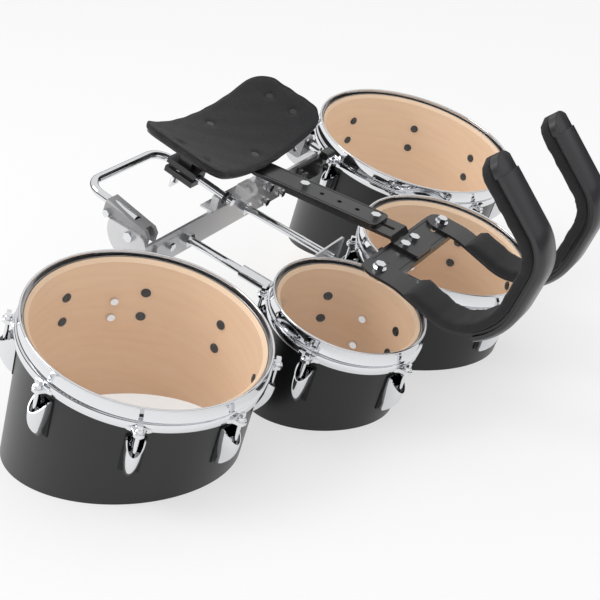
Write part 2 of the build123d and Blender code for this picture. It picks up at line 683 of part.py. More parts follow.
def make_lower_bar():
    """Inner spine bar: slides under the upper bar on its bolts, its end level on the cross bar."""
    bar = Pos(0, 86, BAR_THICK / 2) * Box(BAR_WIDTH, 178, BAR_THICK)
    ends = [e for e in bar.edges().filter_by(Axis.Z) if e.center().Y > 170]
    bar = fillet(ends, 6)
    low = BAR_BOLTS[1] - HOLE_PITCH
    slots = Pos(0, (low + BAR_BOLTS[0]) / 2, 0) * extrude(
        SlotCenterToCenter(BAR_BOLTS[0] - low, 2 * (3.5 + RUNNING_GAP), rotation=90), 2 * BAR_THICK, both=True
    )
    bar -= slots
    bar = slope_frame() * bar
    half = BAR_WIDTH / 2
    joint = BEND_Y - 3
    joggle = Polygon(
        (-200, TEE_TOP),
        (joint - 8, TEE_TOP),
        (joint, BEND_Z + 0.3),
        (joint, BEND_Z + 0.3 + BAR_THICK),
        (joint - 7, TEE_TOP + BAR_THICK),
        (-200, TEE_TOP + BAR_THICK),
        align=None,
    )
    end = side_plate(joggle, MIDDLE_X - half, MIDDLE_X + half)
    end = fillet([e for e in end.edges().filter_by(Axis.Z) if e.center().Y < -199], 6)
    bar += end
    for x in TEE_BOLT_X:
        bar -= sided_post(MIDDLE_X + x, TEE_BOLT_Y, TEE_TOP - 5, TEE_TOP + 20, 3.1, SMALL_SIDES)
    return bar


def make_spine_bolts():
    """Bolts through the two spine bars, with washers that hold the sliding bar up."""
    bolts = []
    for y in BAR_BOLTS:
        top = 2 * BAR_THICK + RUNNING_GAP
        bolt = Pos(0, y, top) * extrude(RegularPolygon(7.5, 6), 5.5)
        bolt += Pos(0, y, (top - 3.2) / 2) * Cylinder(3.5, top + 3.2)
        bolt += sided_post(0, y, -RUNNING_GAP - 3.2, -RUNNING_GAP, WASHER_RADIUS, SMALL_SIDES)
        bolts.append(slope_frame() * bolt)
    return bolts


def make_tee_bolts():
    bolts = []
    for x in TEE_BOLT_X:
        shank_top = TEE_TOP + BAR_THICK + 1
        bolt = sided_post(MIDDLE_X + x, TEE_BOLT_Y, TEE_TOP - 8, shank_top, 3.0, SMALL_SIDES)
        bolt += Pos(MIDDLE_X + x, TEE_BOLT_Y, TEE_TOP + BAR_THICK) * extrude(RegularPolygon(7.5, 6), 5.5)
        bolts.append(bolt)
    return bolts


def make_tee():
    """Cross bar: a shallow channel, open below, with a slot for each shoulder hook."""
    y0 = TEE_Y - TEE_WIDTH / 2
    y1 = TEE_Y + TEE_WIDTH / 2
    half = TEE_HALF_LENGTH
    plate = span(MIDDLE_X - half, MIDDLE_X + half, y0, y1, TEE_TOP - 4, TEE_TOP)
    plate = fillet(plate.edges().filter_by(Axis.Z), 9)
    for y in (y0 + 1.5, y1 - 1.5):
        plate += span(MIDDLE_X - half + 9, MIDDLE_X + half - 9, y - 1.5, y + 1.5, TEE_TOP - 9, TEE_TOP)
    for y in (y0 + 5.5, y1 - 5.5):
        plate -= Pos(MIDDLE_X, y, TEE_TOP) * Box(2 * half - 24, 1.6, 1.6)
    for side in (-1, 1):
        middle = MIDDLE_X + side * (HOOK_X - HOOK_TRAVEL / 2)
        slot = SlotCenterToCenter(HOOK_TRAVEL, 2 * (4 + RUNNING_GAP))
        plate -= Pos(middle, TEE_Y, TEE_TOP - 10) * extrude(slot, 20)
    for x in TEE_BOLT_X:
        plate -= sided_post(MIDDLE_X + x, TEE_BOLT_Y, TEE_TOP - 12, TEE_TOP + 5, 3.1, SMALL_SIDES)
    return plate


def make_slot_bolt(x):
    """Bolt that slides in the cross bar's slot: square nut below, shank, washer and head above."""
    top = TEE_TOP + RUNNING_GAP + BEAM_THICK + RUNNING_GAP
    bolt = post(x, TEE_Y, TEE_TOP - 9, top + 1, 4.0)
    bolt += span(x - 7.5, x + 7.5, TEE_Y - 7.5, TEE_Y + 7.5, TEE_TOP - 10, TEE_TOP - 4 - RUNNING_GAP)
    bolt += sided_post(x, TEE_Y, top, top + 2, 9.5, ROUND_SIDES)
    return bolt + Pos(x, TEE_Y, top + 2) * extrude(RegularPolygon(7.5, 6), 6)


def hook_path(x, first, last):
    """The beam's centre line from one point of its corner line to another, its corners rounded.

    A point is a corner's number and the share of the way from it to the next corner.
    """
    def corner_point(where):
        number, share = where
        y0, z0 = HOOK_CORNERS[number]
        y1, z1 = HOOK_CORNERS[number + 1]
        return x, y0 + share * (y1 - y0), z0 + share * (z1 - z0)

    place = Vector(*corner_point(first))
    pieces = []
    for number in range(first[0] + 1, last[0] + 1):
        corner = Vector(x, *HOOK_CORNERS[number])
        after = Vector(x, *HOOK_CORNERS[number + 1])
        inward = (place - corner).normalized()
        outward = (after - corner).normalized()
        half_angle = math.radians(inward.get_angle(outward)) / 2
        radius = HOOK_BENDS[number - 1]
        start = corner + inward * (radius / math.tan(half_angle))
        end = corner + outward * (radius / math.tan(half_angle))
        middle = corner + (inward + outward).normalized() * (radius / math.sin(half_angle) - radius)
        if (place - start).length > 0.01:
            pieces.append(Line(place, start))
        pieces.append(ThreePointArc(start, middle, end))
        place = end
    pieces.append(Line(place, Vector(*corner_point(last))))
    return Wire([piece.edge() for piece in pieces])


def hook_strip(x, first, last, section):
    """Sweeps a section along the beam's centre line. Its Y points to the inside of the hook."""
    path = hook_path(x, first, last)
    start = Plane(origin=path @ 0, x_dir=(1, 0, 0), z_dir=path % 0)
    return sweep(start * Polygon(*section, align=None), path=path)


def round_tip(strip, x, width, last):
    """Rounds the free end of a strip, seen square to the hook's upper leg."""
    path = hook_path(x, (4, 0.5), last)
    tip = Plane(origin=path @ 1, x_dir=(1, 0, 0), z_dir=path % 1)
    outer = tip * Pos(0, -50, -width) * Box(2 * width, 160, 2 * width)
    corner = tip * Pos(0, 0, -width / 2) * Rot(90, 0, 0) * (Cylinder(width * 2, 80) - Cylinder(width / 2, 82))
    beyond = tip * Pos(0, 0, width - width / 2) * Box(2 * width, 80, 2 * width)
    return strip - (corner & beyond & outer)


TIP = (4, 1.0)
DOME_START = (4, 1.0 - DOME_LENGTH / 139.3)


def make_beam(x):
    """Bent steel strip of one shoulder hook."""
    half, thick = BEAM_WIDTH / 2, BEAM_THICK / 2
    section = ((-half, -thick), (half, -thick), (half, thick), (-half, thick))
    strip = hook_strip(x, (0, 0.0), (4, DOME_START[1] - 0.003), section)
    end = sided_post(x, TEE_Y, 0, 200, half, 4 * ROUND_SIDES)
    rest = span(x - half - 1, x + half + 1, -500, TEE_Y, 0, 400)
    strip &= end + rest
    return strip - post(x, TEE_Y, 40, 90, 4 + RUNNING_GAP)


def make_shoulder_pad(x):
    """Felt lining with a crown and drawn-in sides."""
    half = PAD_WIDTH / 2
    inner = ((half, 11.0), (half - 4, 15.5), (12, 18.0))
    right = ((half - 2, 2.3), (half, 5.5)) + inner
    section = right + tuple((-u, v) for u, v in reversed(right))
    return round_tip(hook_strip(x, (1, 0.17), TIP, section), x, PAD_WIDTH, TIP)


def make_shoulder_cover(x):
    """Moulded outer cover with long facets, and the dome that closes the hook's end."""
    half = COVER_WIDTH / 2
    right = ((half, -2.3), (half, -7.5), (half - 2.5, -9.5), (half - 9, -12.3))
    section = right + tuple((-u, v) for u, v in reversed(right))
    cover = hook_strip(x, (2, 0.45), (4, DOME_START[1]), section)
    right = ((half, 2.0), (half, -5.5), (half - 6, -9.0))
    section = right + tuple((-u, v) for u, v in reversed(right))
    dome = round_tip(hook_strip(x, DOME_START, TIP, section), x, COVER_WIDTH, TIP)
    return cover + dome


def make_rack():
    keep("mount_bolts", make_mount_bolts())
    keep("rail", make_rail())
    keep("rail_bolts", make_rail_bolts())
    keep("hinge_base", make_hinge_base())
    keep("center_block", make_center_block())
    keep("leg_rests", make_leg_rests())
    keep("support_rods", make_support_rods())
    keep("support_nuts", make_support_nuts())
    keep("support_socket", make_socket())
    keep("spreader_bracket", make_spreader())
    keep("near_drum_bracket", make_near_bracket())
    keep("far_drum_bracket", make_far_bracket())
    keep("drum_pair_bracket", make_pair_bracket())


def make_carrier():
    near = make_u_rod(NEAR_LEGS[0], NEAR_LEGS[1], CROSS_Y, 130, LEG_END)
    far = make_u_rod(FAR_LEGS[1], FAR_LEGS[0], CROSS_Y, LEG_END + 6, LEG_END)
    keep("u_rods", [RISE * near, RISE * far])
    keep("tilt_arm", RISE * make_tilt_arm())
    keep("tilt_lug", RISE * make_tilt_lug())
    keep("tilt_bolts", [RISE * bolt for bolt in make_tilt_bolts()])
    keep("rod_collars", [RISE * collar for collar in make_collars()])
    make_belly()
    keep("clamp_near", RISE * make_clamp(NEAR_LEGS[1], -1))
    keep("clamp_far", RISE * make_clamp(FAR_LEGS[0], 1))
    keep("clamp_screw_near", RISE * make_clamp_screw(NEAR_LEGS[1], -1))
    keep("clamp_screw_far", RISE * make_clamp_screw(FAR_LEGS[0], 1))
    keep("upper_spine_bar", make_upper_bar())
    keep("belly_rivets", make_belly_rivets())
    keep("spine_bolts", make_spine_bolts())
    keep("lower_spine_bar", make_lower_bar())
    keep("cross_bar", make_tee())
    keep("cross_bar_bolts", make_tee_bolts())
    for name, side in (("near", -1), ("far", 1)):
        x = MIDDLE_X + side * HOOK_X
        keep(f"slot_bolt_{name}", make_slot_bolt(x))
        keep(f"shoulder_beam_{name}", make_beam(x))
        keep(f"shoulder_pad_{name}", make_shoulder_pad(x))
        keep(f"shoulder_cover_{name}", make_shoulder_cover(x))


def main():
    make_drums()
    make_rack()
    make_carrier()
    os.makedirs("parts", exist_ok=True)
    for name, shape in PARTS.items():
        export_step(SEAT * shape, f"parts/{name}.step")


if __name__ == "__main__":
    main()
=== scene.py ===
"""Marching tenor drums: finishes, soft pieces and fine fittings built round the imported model."""

import json
import logging
import math
from dataclasses import dataclass, field
from enum import Enum
from typing import Iterable, Optional, Sequence, Union

import bmesh
import bpy
from mathutils import Matrix, Vector

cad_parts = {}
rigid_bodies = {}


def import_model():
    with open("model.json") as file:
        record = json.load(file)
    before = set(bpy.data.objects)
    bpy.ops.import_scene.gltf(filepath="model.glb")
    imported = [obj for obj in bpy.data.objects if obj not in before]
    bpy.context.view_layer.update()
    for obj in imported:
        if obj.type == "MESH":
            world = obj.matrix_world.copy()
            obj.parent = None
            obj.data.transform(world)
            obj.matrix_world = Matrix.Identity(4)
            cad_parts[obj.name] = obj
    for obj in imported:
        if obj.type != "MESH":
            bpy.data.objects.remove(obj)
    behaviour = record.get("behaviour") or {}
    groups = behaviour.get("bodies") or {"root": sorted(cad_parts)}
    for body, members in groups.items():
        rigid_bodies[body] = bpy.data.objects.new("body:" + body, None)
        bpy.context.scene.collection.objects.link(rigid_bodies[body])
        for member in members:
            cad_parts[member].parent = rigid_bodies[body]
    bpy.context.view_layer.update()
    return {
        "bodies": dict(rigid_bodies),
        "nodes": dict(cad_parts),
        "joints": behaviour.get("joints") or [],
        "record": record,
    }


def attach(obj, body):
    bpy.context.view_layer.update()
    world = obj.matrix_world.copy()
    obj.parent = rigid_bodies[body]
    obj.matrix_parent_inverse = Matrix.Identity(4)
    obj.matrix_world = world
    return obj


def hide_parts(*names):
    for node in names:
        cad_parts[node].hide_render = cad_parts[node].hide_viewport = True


LOG = logging.getLogger("tenor_drums")

MM = 0.001
INCH = 25.4
MERGE = 0.00002
WHITE_SHARE = 0.6

# The drums' own level frame stands in the row frame as the CAD source seats it
LEAN_TO_AUDIENCE = math.radians(19.2)
LEAN_SIDEWAYS = math.radians(-3.84)
SEAT_OFFSET = (-4.9, 82.79, 221.4)

# The folded carrier rises to the player about its tilt axis
RISE_ANGLE = math.radians(5.5)
TILT_AXIS = (0.0, 123.0, -3.0)
MIDDLE_X = -25.0
HOOK_X = 95.0

Point = tuple[float, float, float]


def seat_matrix() -> Matrix:
    """Turns millimetres in the drums' level frame into metres in the row frame."""
    lean = Matrix.Rotation(LEAN_SIDEWAYS, 4, "Y") @ Matrix.Rotation(LEAN_TO_AUDIENCE, 4, "X")
    return Matrix.Scale(MM, 4) @ Matrix.Translation(SEAT_OFFSET) @ lean


def rise_matrix() -> Matrix:
    """The carrier's rise about its tilt axis, in the drums' level frame."""
    axis = Matrix.Translation(TILT_AXIS)
    return axis @ Matrix.Rotation(RISE_ANGLE, 4, "X") @ axis.inverted()


SEAT = seat_matrix()
RISE = rise_matrix()


class Body(Enum):
    """The bodies that the scene's own pieces ride on."""

    DRUMS = "drum_set"
    BELLY = "belly_carriage"
    HOOK_NEAR = "hook_near"
    HOOK_FAR = "hook_far"


@dataclass(frozen=True)
class Drum:
    """One drum of the set: its place in the level frame and how many lugs it has."""

    name: str
    center: tuple[float, float]
    diameter: float
    lugs: int
    first_angle: float

    @property
    def radius(self) -> float:
        """Outer radius of the shell."""
        return self.diameter / 2


DRUMS = (
    Drum("12_inch", (-396.0, -17.0), 12 * INCH, 8, 36.0),
    Drum("8_inch", (-138.0, -162.0), 8 * INCH, 5, 41.0),
    Drum("10_inch", (131.0, -179.0), 10 * INCH, 6, 8.5),
    Drum("13_inch", (396.0, 17.0), 13 * INCH, 8, 23.0),
)


# Shader maths


class Value:
    """A number socket in a material: the operators add Math nodes."""

    def __init__(self, paint: "Paint", socket: bpy.types.NodeSocket) -> None:
        """Args:
            paint: the material being built.
            socket: the output that carries the number.
        """
        self.paint = paint
        self.socket = socket

    def _math(self, operation: str, a: "Number", b: "Number" = 0.0, clamp: bool = False) -> "Value":
        """Adds one Math node and returns its output."""
        settings = {"operation": operation, "use_clamp": clamp}
        return Value(self.paint, self.paint.node("ShaderNodeMath", settings, {0: a, 1: b}).outputs[0])

    def __add__(self, other: "Number") -> "Value":
        """Sum."""
        return self._math("ADD", self, other)

    __radd__ = __add__

    def __sub__(self, other: "Number") -> "Value":
        """Difference."""
        return self._math("SUBTRACT", self, other)

    def __rsub__(self, other: "Number") -> "Value":
        """Difference the other way round."""
        return self._math("SUBTRACT", other, self)

    def __mul__(self, other: "Number") -> "Value":
        """Product."""
        return self._math("MULTIPLY", self, other)

    __rmul__ = __mul__

    def above(self, limit: "Number") -> "Value":
        """1 where the value is above the limit, else 0."""
        return self._math("GREATER_THAN", self, limit)

    def power(self, exponent: "Number") -> "Value":
        """The value raised to a power."""
        return self._math("POWER", self, exponent)

    def clamped(self) -> "Value":
        """The value held between 0 and 1."""
        return self._math("ADD", self, 0.0, clamp=True)


Number = Union[float, Value]


class Paint:
    """Builds one procedural material on Object coordinates."""

    def __init__(self, name: str) -> None:
        """Args:
            name: the material's name, in plain words.
        """
        self.material = bpy.data.materials.new(name)
        self.material.use_nodes = True
        self.tree = self.material.node_tree
        self.tree.nodes.clear()
        self.output = self.tree.nodes.new("ShaderNodeOutputMaterial")
        self.coordinates = self.node("ShaderNodeTexCoord", {}, {}).outputs["Object"]

    def node(self, kind: str, settings: dict, inputs: dict) -> bpy.types.Node:
        """Adds one node.

        Args:
            kind: the node's type.
            settings: its properties, set first; "stops" fills a colour ramp.
            inputs: values or links, by socket name or number.

        Returns:
            The new node.
        """
        node = self.tree.nodes.new(kind)
        for key, value in settings.items():
            if key == "stops":
                self._fill_ramp(node.color_ramp, value)
            else:
                setattr(node, key, value)
        for key, value in inputs.items():
            if isinstance(value, Value):
                self.tree.links.new(value.socket, node.inputs[key])
            elif isinstance(value, bpy.types.NodeSocket):
                self.tree.links.new(value, node.inputs[key])
            else:
                node.inputs[key].default_value = value
        return node

    @staticmethod
    def _fill_ramp(ramp: bpy.types.ColorRamp, stops: Sequence[tuple[float, tuple]]) -> None:
        """Sets a ramp's stops."""
        while len(ramp.elements) < len(stops):
            ramp.elements.new(1.0)
        for element, (position, color) in zip(ramp.elements, stops):
            element.position = position
            element.color = color

    def placed(self, turn: Matrix, scale: Point = (1.0, 1.0, 1.0)) -> bpy.types.NodeSocket:
        """Object coordinates seen from a frame in the row frame, in metres, then scaled.

        Args:
            turn: the frame's matrix in the row frame, rigid, in metres.
            scale: factors along the frame's own axes.

        Returns:
            A vector socket.
        """
        inverse = turn.inverted()
        angles = inverse.to_euler("XYZ")
        mapped = self.node(
            "ShaderNodeMapping",
            {"vector_type": "POINT"},
            {"Vector": self.coordinates, "Location": tuple(inverse.translation), "Rotation": tuple(angles)},
        )
        if scale == (1.0, 1.0, 1.0):
            return mapped.outputs[0]
        return self.stretched(mapped.outputs[0], scale)

    def stretched(self, vector: bpy.types.NodeSocket, scale: Point) -> bpy.types.NodeSocket:
        """A vector scaled along its three axes."""
        return self.node("ShaderNodeVectorMath", {"operation": "MULTIPLY"}, {0: vector, 1: scale}).outputs[0]

    def noise(self, scale: float, detail: float = 4.0, roughness: float = 0.5,
              vector: Optional[bpy.types.NodeSocket] = None, distortion: float = 0.0) -> Value:
        """Fractal noise from 0 to 1.

        Args:
            scale: features per metre.
            detail: number of octaves.
            roughness: strength of the fine octaves.
            vector: coordinates, the object's own by default.
            distortion: how far the pattern is pulled about.

        Returns:
            The noise value.
        """
        inputs = {
            "Vector": vector or self.coordinates,
            "Scale": scale,
            "Detail": detail,
            "Roughness": roughness,
            "Distortion": distortion,
        }
        return Value(self, self.node("ShaderNodeTexNoise", {}, inputs).outputs["Fac"])

    def wave(self, scale: float, vector: bpy.types.NodeSocket, distortion: float,
             detail_scale: float) -> Value:
        """Bands along X that wander, such as growth rings."""
        inputs = {
            "Vector": vector,
            "Scale": scale,
            "Distortion": distortion,
            "Detail": 3.0,
            "Detail Scale": detail_scale,
        }
        return Value(self, self.node("ShaderNodeTexWave", {"bands_direction": "Z"}, inputs).outputs["Fac"])

    def split(self, vector: bpy.types.NodeSocket) -> tuple[Value, Value, Value]:
        """The three numbers of a vector."""
        out = self.node("ShaderNodeSeparateXYZ", {}, {0: vector}).outputs
        return Value(self, out[0]), Value(self, out[1]), Value(self, out[2])

    def blend(self, factor: Number, a: Sequence[float], b: Sequence[float]) -> bpy.types.NodeSocket:
        """A colour between two colours or colour sockets."""
        node = self.tree.nodes.new("ShaderNodeMix")
        node.data_type = "RGBA"
        for index, value in ((0, factor), (6, a), (7, b)):
            if isinstance(value, Value):
                self.tree.links.new(value.socket, node.inputs[index])
            elif isinstance(value, bpy.types.NodeSocket):
                self.tree.links.new(value, node.inputs[index])
            elif index:
                node.inputs[index].default_value = (*value[:3], 1.0)
            else:
                node.inputs[index].default_value = value
        return node.outputs[2]

    def bump(self, height: Value, strength: float, distance: float) -> bpy.types.NodeSocket:
        """A bumped normal."""
        inputs = {"Height": height, "Strength": strength, "Distance": distance}
        return self.node("ShaderNodeBump", {}, inputs).outputs[0]

    def finish(self, inputs: dict) -> bpy.types.Material:
        """Closes the material with a Principled shader.

        Args:
            inputs: the shader's sockets by name.

        Returns:
            The finished material.
        """
        shader = self.node("ShaderNodeBsdfPrincipled", {}, inputs)
        self.tree.links.new(shader.outputs[0], self.output.inputs[0])
        return self.material


Color = tuple[float, float, float]


def rgba(color: Color) -> tuple[float, float, float, float]:
    """A colour with full alpha."""
    return (*color, 1.0)


@dataclass(frozen=True)
class Chrome:
    """Polished plating with faint handling marks."""

    name: str = "polished_chrome"
    color: Color = (0.80, 0.81, 0.83)
    hazed: Color = (0.70, 0.71, 0.73)
    roughness: float = 0.045
    mark_scale: float = 55.0
    haze_scale: float = 900.0

    def make(self) -> bpy.types.Material:
        """Builds the material."""
        paint = Paint(self.name)
        marks = paint.noise(self.mark_scale, 6.0, 0.6)
        haze = paint.noise(self.haze_scale, 3.0, 0.5)
        return paint.finish({
            "Base Color": paint.blend(haze * 0.25, self.color, self.hazed),
            "Metallic": 1.0,
            "Roughness": marks.power(4.0) * 0.10 + self.roughness,
            "Normal": paint.bump(marks, 0.03, 0.0006),
        })


@dataclass(frozen=True)
class BrushedMetal:
    """Aluminium brushed or tumbled: a grey metal with fine streaks along X."""

    name: str
    color: Color
    roughness: float
    streak: float = 30.0
    streak_scale: float = 90.0
    cloud_scale: float = 14.0
    darkening: float = 0.82

    def make(self) -> bpy.types.Material:
        """Builds the material."""
        paint = Paint(self.name)
        along = paint.placed(Matrix.Identity(4), (1.0, self.streak, self.streak))
        streaks = paint.noise(self.streak_scale, 5.0, 0.65, along)
        clouds = paint.noise(self.cloud_scale, 3.0, 0.5)
        dark = tuple(self.darkening * c for c in self.color)
        return paint.finish({
            "Base Color": paint.blend(streaks * 0.6 + clouds * 0.25, self.color, dark),
            "Metallic": 0.85,
            "Roughness": streaks * 0.16 + self.roughness,
            "Normal": paint.bump(streaks, 0.12, 0.0004),
        })


@dataclass(frozen=True)
class SatinPaint:
    """Powder coat or lacquer with a fine orange-peel skin."""

    name: str
    color: Color
    roughness: float = 0.36
    coat: float = 0.0
    grain: float = 1400.0
    relief: float = 0.12
    specular: float = 0.5

    def make(self) -> bpy.types.Material:
        """Builds the material."""
        paint = Paint(self.name)
        peel = paint.noise(self.grain, 3.0, 0.5)
        patches = paint.noise(9.0, 4.0, 0.5)
        lighter = tuple(min(1.0, 1.35 * c + 0.004) for c in self.color)
        return paint.finish({
            "Base Color": paint.blend(patches * 0.5, self.color, lighter),
            "Roughness": patches * 0.10 + (self.roughness - 0.05),
            "Coat Weight": self.coat,
            "Coat Roughness": 0.12,
            "Specular IOR Level": self.specular,
            "Normal": paint.bump(peel, self.relief, 0.0003),
        })


@dataclass(frozen=True)
class Felt:
    """Brushed fabric over foam: dense short fibres that catch a little light."""

    name: str = "black_felt"
    color: Color = (0.012, 0.012, 0.013)
    fibre: Color = (0.045, 0.045, 0.048)
    fibre_scale: float = 1500.0
    tuft_scale: float = 260.0
    nap_scale: float = 28.0

    def make(self) -> bpy.types.Material:
        """Builds the material."""
        paint = Paint(self.name)
        fibres = paint.noise(self.fibre_scale, 4.0, 0.7, distortion=0.8)
        tufts = paint.noise(self.tuft_scale, 4.0, 0.6)
        nap = paint.noise(self.nap_scale, 3.0, 0.5)
        shade = (fibres * 0.75 + tufts * 0.35 + nap * 0.2 - 0.25).clamped()
        return paint.finish({
            "Base Color": paint.blend(shade, self.color, self.fibre),
            "Roughness": 0.95,
            "Specular IOR Level": 0.2,
            "Sheen Weight": 0.12,
            "Sheen Roughness": 0.5,
            "Normal": paint.bump(fibres * 0.7 + tufts * 0.6, 0.8, 0.0012),
        })


@dataclass(frozen=True)
class ShellWood:
    """Satin black lacquer outside and bare maple inside, told apart by the distance from the axis; the maple
    is lightened with painted light.
    """

    drum: Drum
    # Both maple colours are lighter than the wood's own colour: painted light that makes up for the dim light
    # inside the shell.
    maple_with_painted_light: Color = (0.96, 0.74, 0.53)
    maple_dark_with_painted_light: Color = (0.83, 0.57, 0.37)
    lacquer: Color = (0.011, 0.011, 0.012)
    lacquer_depth: float = 0.35
    stretch: Point = (0.16, 1.0, 1.0)
    ring_scale: float = 16.0
    figure_scale: float = 34.0
    pore_scale: float = 700.0
    peel_scale: float = 600.0

    def make(self) -> bpy.types.Material:
        """Builds the material."""
        paint = Paint(f"maple_shell_{self.drum.name}")
        lean = SEAT.to_quaternion().to_matrix().to_4x4()
        center = Vector((*self.drum.center, 0.0))
        frame = Matrix.Translation(SEAT @ center) @ lean
        local = paint.placed(frame)
        x, y, z = paint.split(local)
        radius = (x * x + y * y).power(0.5)
        outside = radius.above((self.drum.radius - self.lacquer_depth) * MM)
        angle = Value(paint, paint.node("ShaderNodeMath", {"operation": "ARCTAN2"}, {0: y, 1: x}).outputs[0])
        along = angle * (self.drum.radius * MM)
        sheet = paint.node("ShaderNodeCombineXYZ", {}, {0: along, 1: 0.0, 2: z}).outputs[0]
        flat = paint.stretched(sheet, self.stretch)
        rings = paint.wave(self.ring_scale, flat, 16.0, 1.1)
        figure = paint.noise(self.figure_scale, 5.0, 0.55, flat)
        pores = paint.noise(self.pore_scale, 3.0, 0.6, flat)
        grain = (rings * 0.14 + figure * 0.62 + pores * 0.15 - 0.1).clamped()
        # The grain is blended between the two lightened maple colours, so the inside carries painted light.
        wood_with_painted_light = paint.blend(grain, self.maple_with_painted_light, self.maple_dark_with_painted_light)
        peel = paint.noise(self.peel_scale, 2.0, 0.5)
        return paint.finish({
            "Base Color": paint.blend(outside, wood_with_painted_light, self.lacquer),
            "Roughness": (1.0 - outside) * (figure * 0.12 + 0.42) + outside * (peel * 0.06 + 0.30),
            "Specular IOR Level": 0.5,
            "Normal": paint.bump(grain * (1.0 - outside) + peel * outside * 0.25, 0.10, 0.0004),
        })


@dataclass(frozen=True)
class Film:
    """Clear drum head: a thin film that veils and shines a little."""

    name: str = "clear_film"
    color: Color = (0.95, 0.94, 0.92)
    alpha: float = 0.025
    ripple_scale: float = 6.0
    haze_scale: float = 16.0

    def make(self) -> bpy.types.Material:
        """Builds the material."""
        paint = Paint(self.name)
        ripple = paint.noise(self.ripple_scale, 2.0, 0.4)
        haze = paint.noise(self.haze_scale, 3.0, 0.5)
        return paint.finish({
            "Base Color": rgba(self.color),
            "Roughness": haze * 0.05 + 0.06,
            "Alpha": haze * 0.03 + (self.alpha - 0.015),
            "IOR": 1.5,
            "Normal": paint.bump(ripple, 0.05, 0.002),
        })


@dataclass(frozen=True)
class Moulding:
    """Black moulded plastic, semi-gloss."""

    name: str = "moulded_cover"
    color: Color = (0.028, 0.028, 0.031)
    lightening: float = 1.3
    skin_scale: float = 420.0
    flow_scale: float = 20.0

    def make(self) -> bpy.types.Material:
        """Builds the material."""
        paint = Paint(self.name)
        skin = paint.noise(self.skin_scale, 3.0, 0.5)
        flow = paint.noise(self.flow_scale, 3.0, 0.5)
        return paint.finish({
            "Base Color": paint.blend(flow * 0.4, self.color, tuple(self.lightening * c for c in self.color)),
            "Roughness": flow * 0.08 + 0.27,
            "Normal": paint.bump(skin, 0.05, 0.0003),
        })


class Palette:
    """All finishes of the set, built once and shared."""

    def __init__(self) -> None:
        """Builds every material."""
        self.chrome = Chrome().make()
        self.bright = BrushedMetal("brushed_aluminium", (0.78, 0.78, 0.79), 0.24).make()
        self.cast = BrushedMetal("cast_aluminium", (0.44, 0.44, 0.45), 0.40, 3.0).make()
        self.white = SatinPaint("white_enamel", (0.86, 0.86, 0.87), 0.30).make()
        self.black = SatinPaint("black_powder_coat", (0.010, 0.010, 0.011), 0.30, 0.25).make()
        self.rubber = SatinPaint("black_rubber", (0.012, 0.012, 0.012), 0.75, 0.0, 700.0, 0.3).make()
        self.steel = SatinPaint("blackened_steel", (0.006, 0.006, 0.008), 0.42, specular=0.25).make()
        self.felt = Felt().make()
        self.film = Film().make()
        self.moulding = Moulding().make()
        self.shells = {drum.name: ShellWood(drum).make() for drum in DRUMS}

    def for_slot(self, node: str, slot: str) -> bpy.types.Material:
        """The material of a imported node.

        Args:
            node: the node's name.
            slot: the record's material slot of that node.

        Returns:
            The material that the node gets.
        """
        by_slot = {
            "chrome": self.chrome,
            "aluminium": self.bright,
            "cast": self.cast,
            "white_metal": self.white,
            "black_metal": self.black,
            "gasket": self.rubber,
            "black_steel": self.steel,
            "felt": self.felt,
            "film": self.film,
            "moulding": self.moulding,
        }
        return self.shells[node.removeprefix("shell_")] if slot == "shell" else by_slot[slot]


# Mesh building


@dataclass
class Draft:
    """A mesh in the making, in millimetres of the drums' level frame."""

    verts: list[Point] = field(default_factory=list)
    faces: list[tuple[int, ...]] = field(default_factory=list)

    def strip(self, rows: Sequence[Sequence[Point]]) -> None:
        """Joins closed rings of points with four-sided faces.

        Args:
            rows: rings with equal numbers of points.
        """
        base = len(self.verts)
        width = len(rows[0])
        for row in rows:
            self.verts.extend(row)
        for r in range(len(rows) - 1):
            for c in range(width):
                a = base + r * width + c
                b = base + r * width + (c + 1) % width
                self.faces.append((a, b, b + width, a + width))

    def cap(self, row: Sequence[Point]) -> None:
        """Closes a ring of points with one face."""
        base = len(self.verts)
        self.verts.extend(row)
        self.faces.append(tuple(range(base, base + len(row))))

    def block(self, low: Point, high: Point) -> None:
        """Adds a block from its lowest to its highest corner."""
        base = len(self.verts)
        for z in (low[2], high[2]):
            for x, y in ((low[0], low[1]), (high[0], low[1]), (high[0], high[1]), (low[0], high[1])):
                self.verts.append((x, y, z))
        for face in ((3, 2, 1, 0), (4, 5, 6, 7), (0, 1, 5, 4), (1, 2, 6, 5), (2, 3, 7, 6), (3, 0, 4, 7)):
            self.faces.append(tuple(base + i for i in face))

    def tube(self, rows: Sequence[Sequence[Point]]) -> None:
        """Joins rings of points and closes the first and the last."""
        self.strip(rows)
        self.cap(list(reversed(rows[0])))
        self.cap(rows[-1])

    def lathe(self, profile: Sequence[tuple[float, float]], axis: tuple[float, float], sides: int) -> None:
        """Turns a profile of radius and height about an upright axis and closes its ends."""
        rows = []
        for radius, z in profile:
            angles = [2 * math.pi * i / sides for i in range(sides)]
            rows.append([(axis[0] + radius * math.cos(a), axis[1] + radius * math.sin(a), z) for a in angles])
        self.tube(rows)

    def to_mesh(self, name: str, place: Matrix) -> bpy.types.Mesh:
        """Writes the draft out as a mesh with outward normals.

        Args:
            name: the mesh's name.
            place: turns the draft's units into metres of the row frame.

        Returns:
            The new mesh.
        """
        mesh = bpy.data.meshes.new(name)
        mesh.from_pydata([tuple(place @ Vector(v)) for v in self.verts], [], self.faces)
        work = bmesh.new()
        work.from_mesh(mesh)
        bmesh.ops.remove_doubles(work, verts=work.verts, dist=1e-6)
        bmesh.ops.recalc_face_normals(work, faces=work.faces)
        work.to_mesh(mesh)
        work.free()
        return mesh


def quarter_round(share: float) -> float:
    """Height of a quarter circle at a share of its width."""
    return math.sqrt(1 - (1 - share) ** 2)


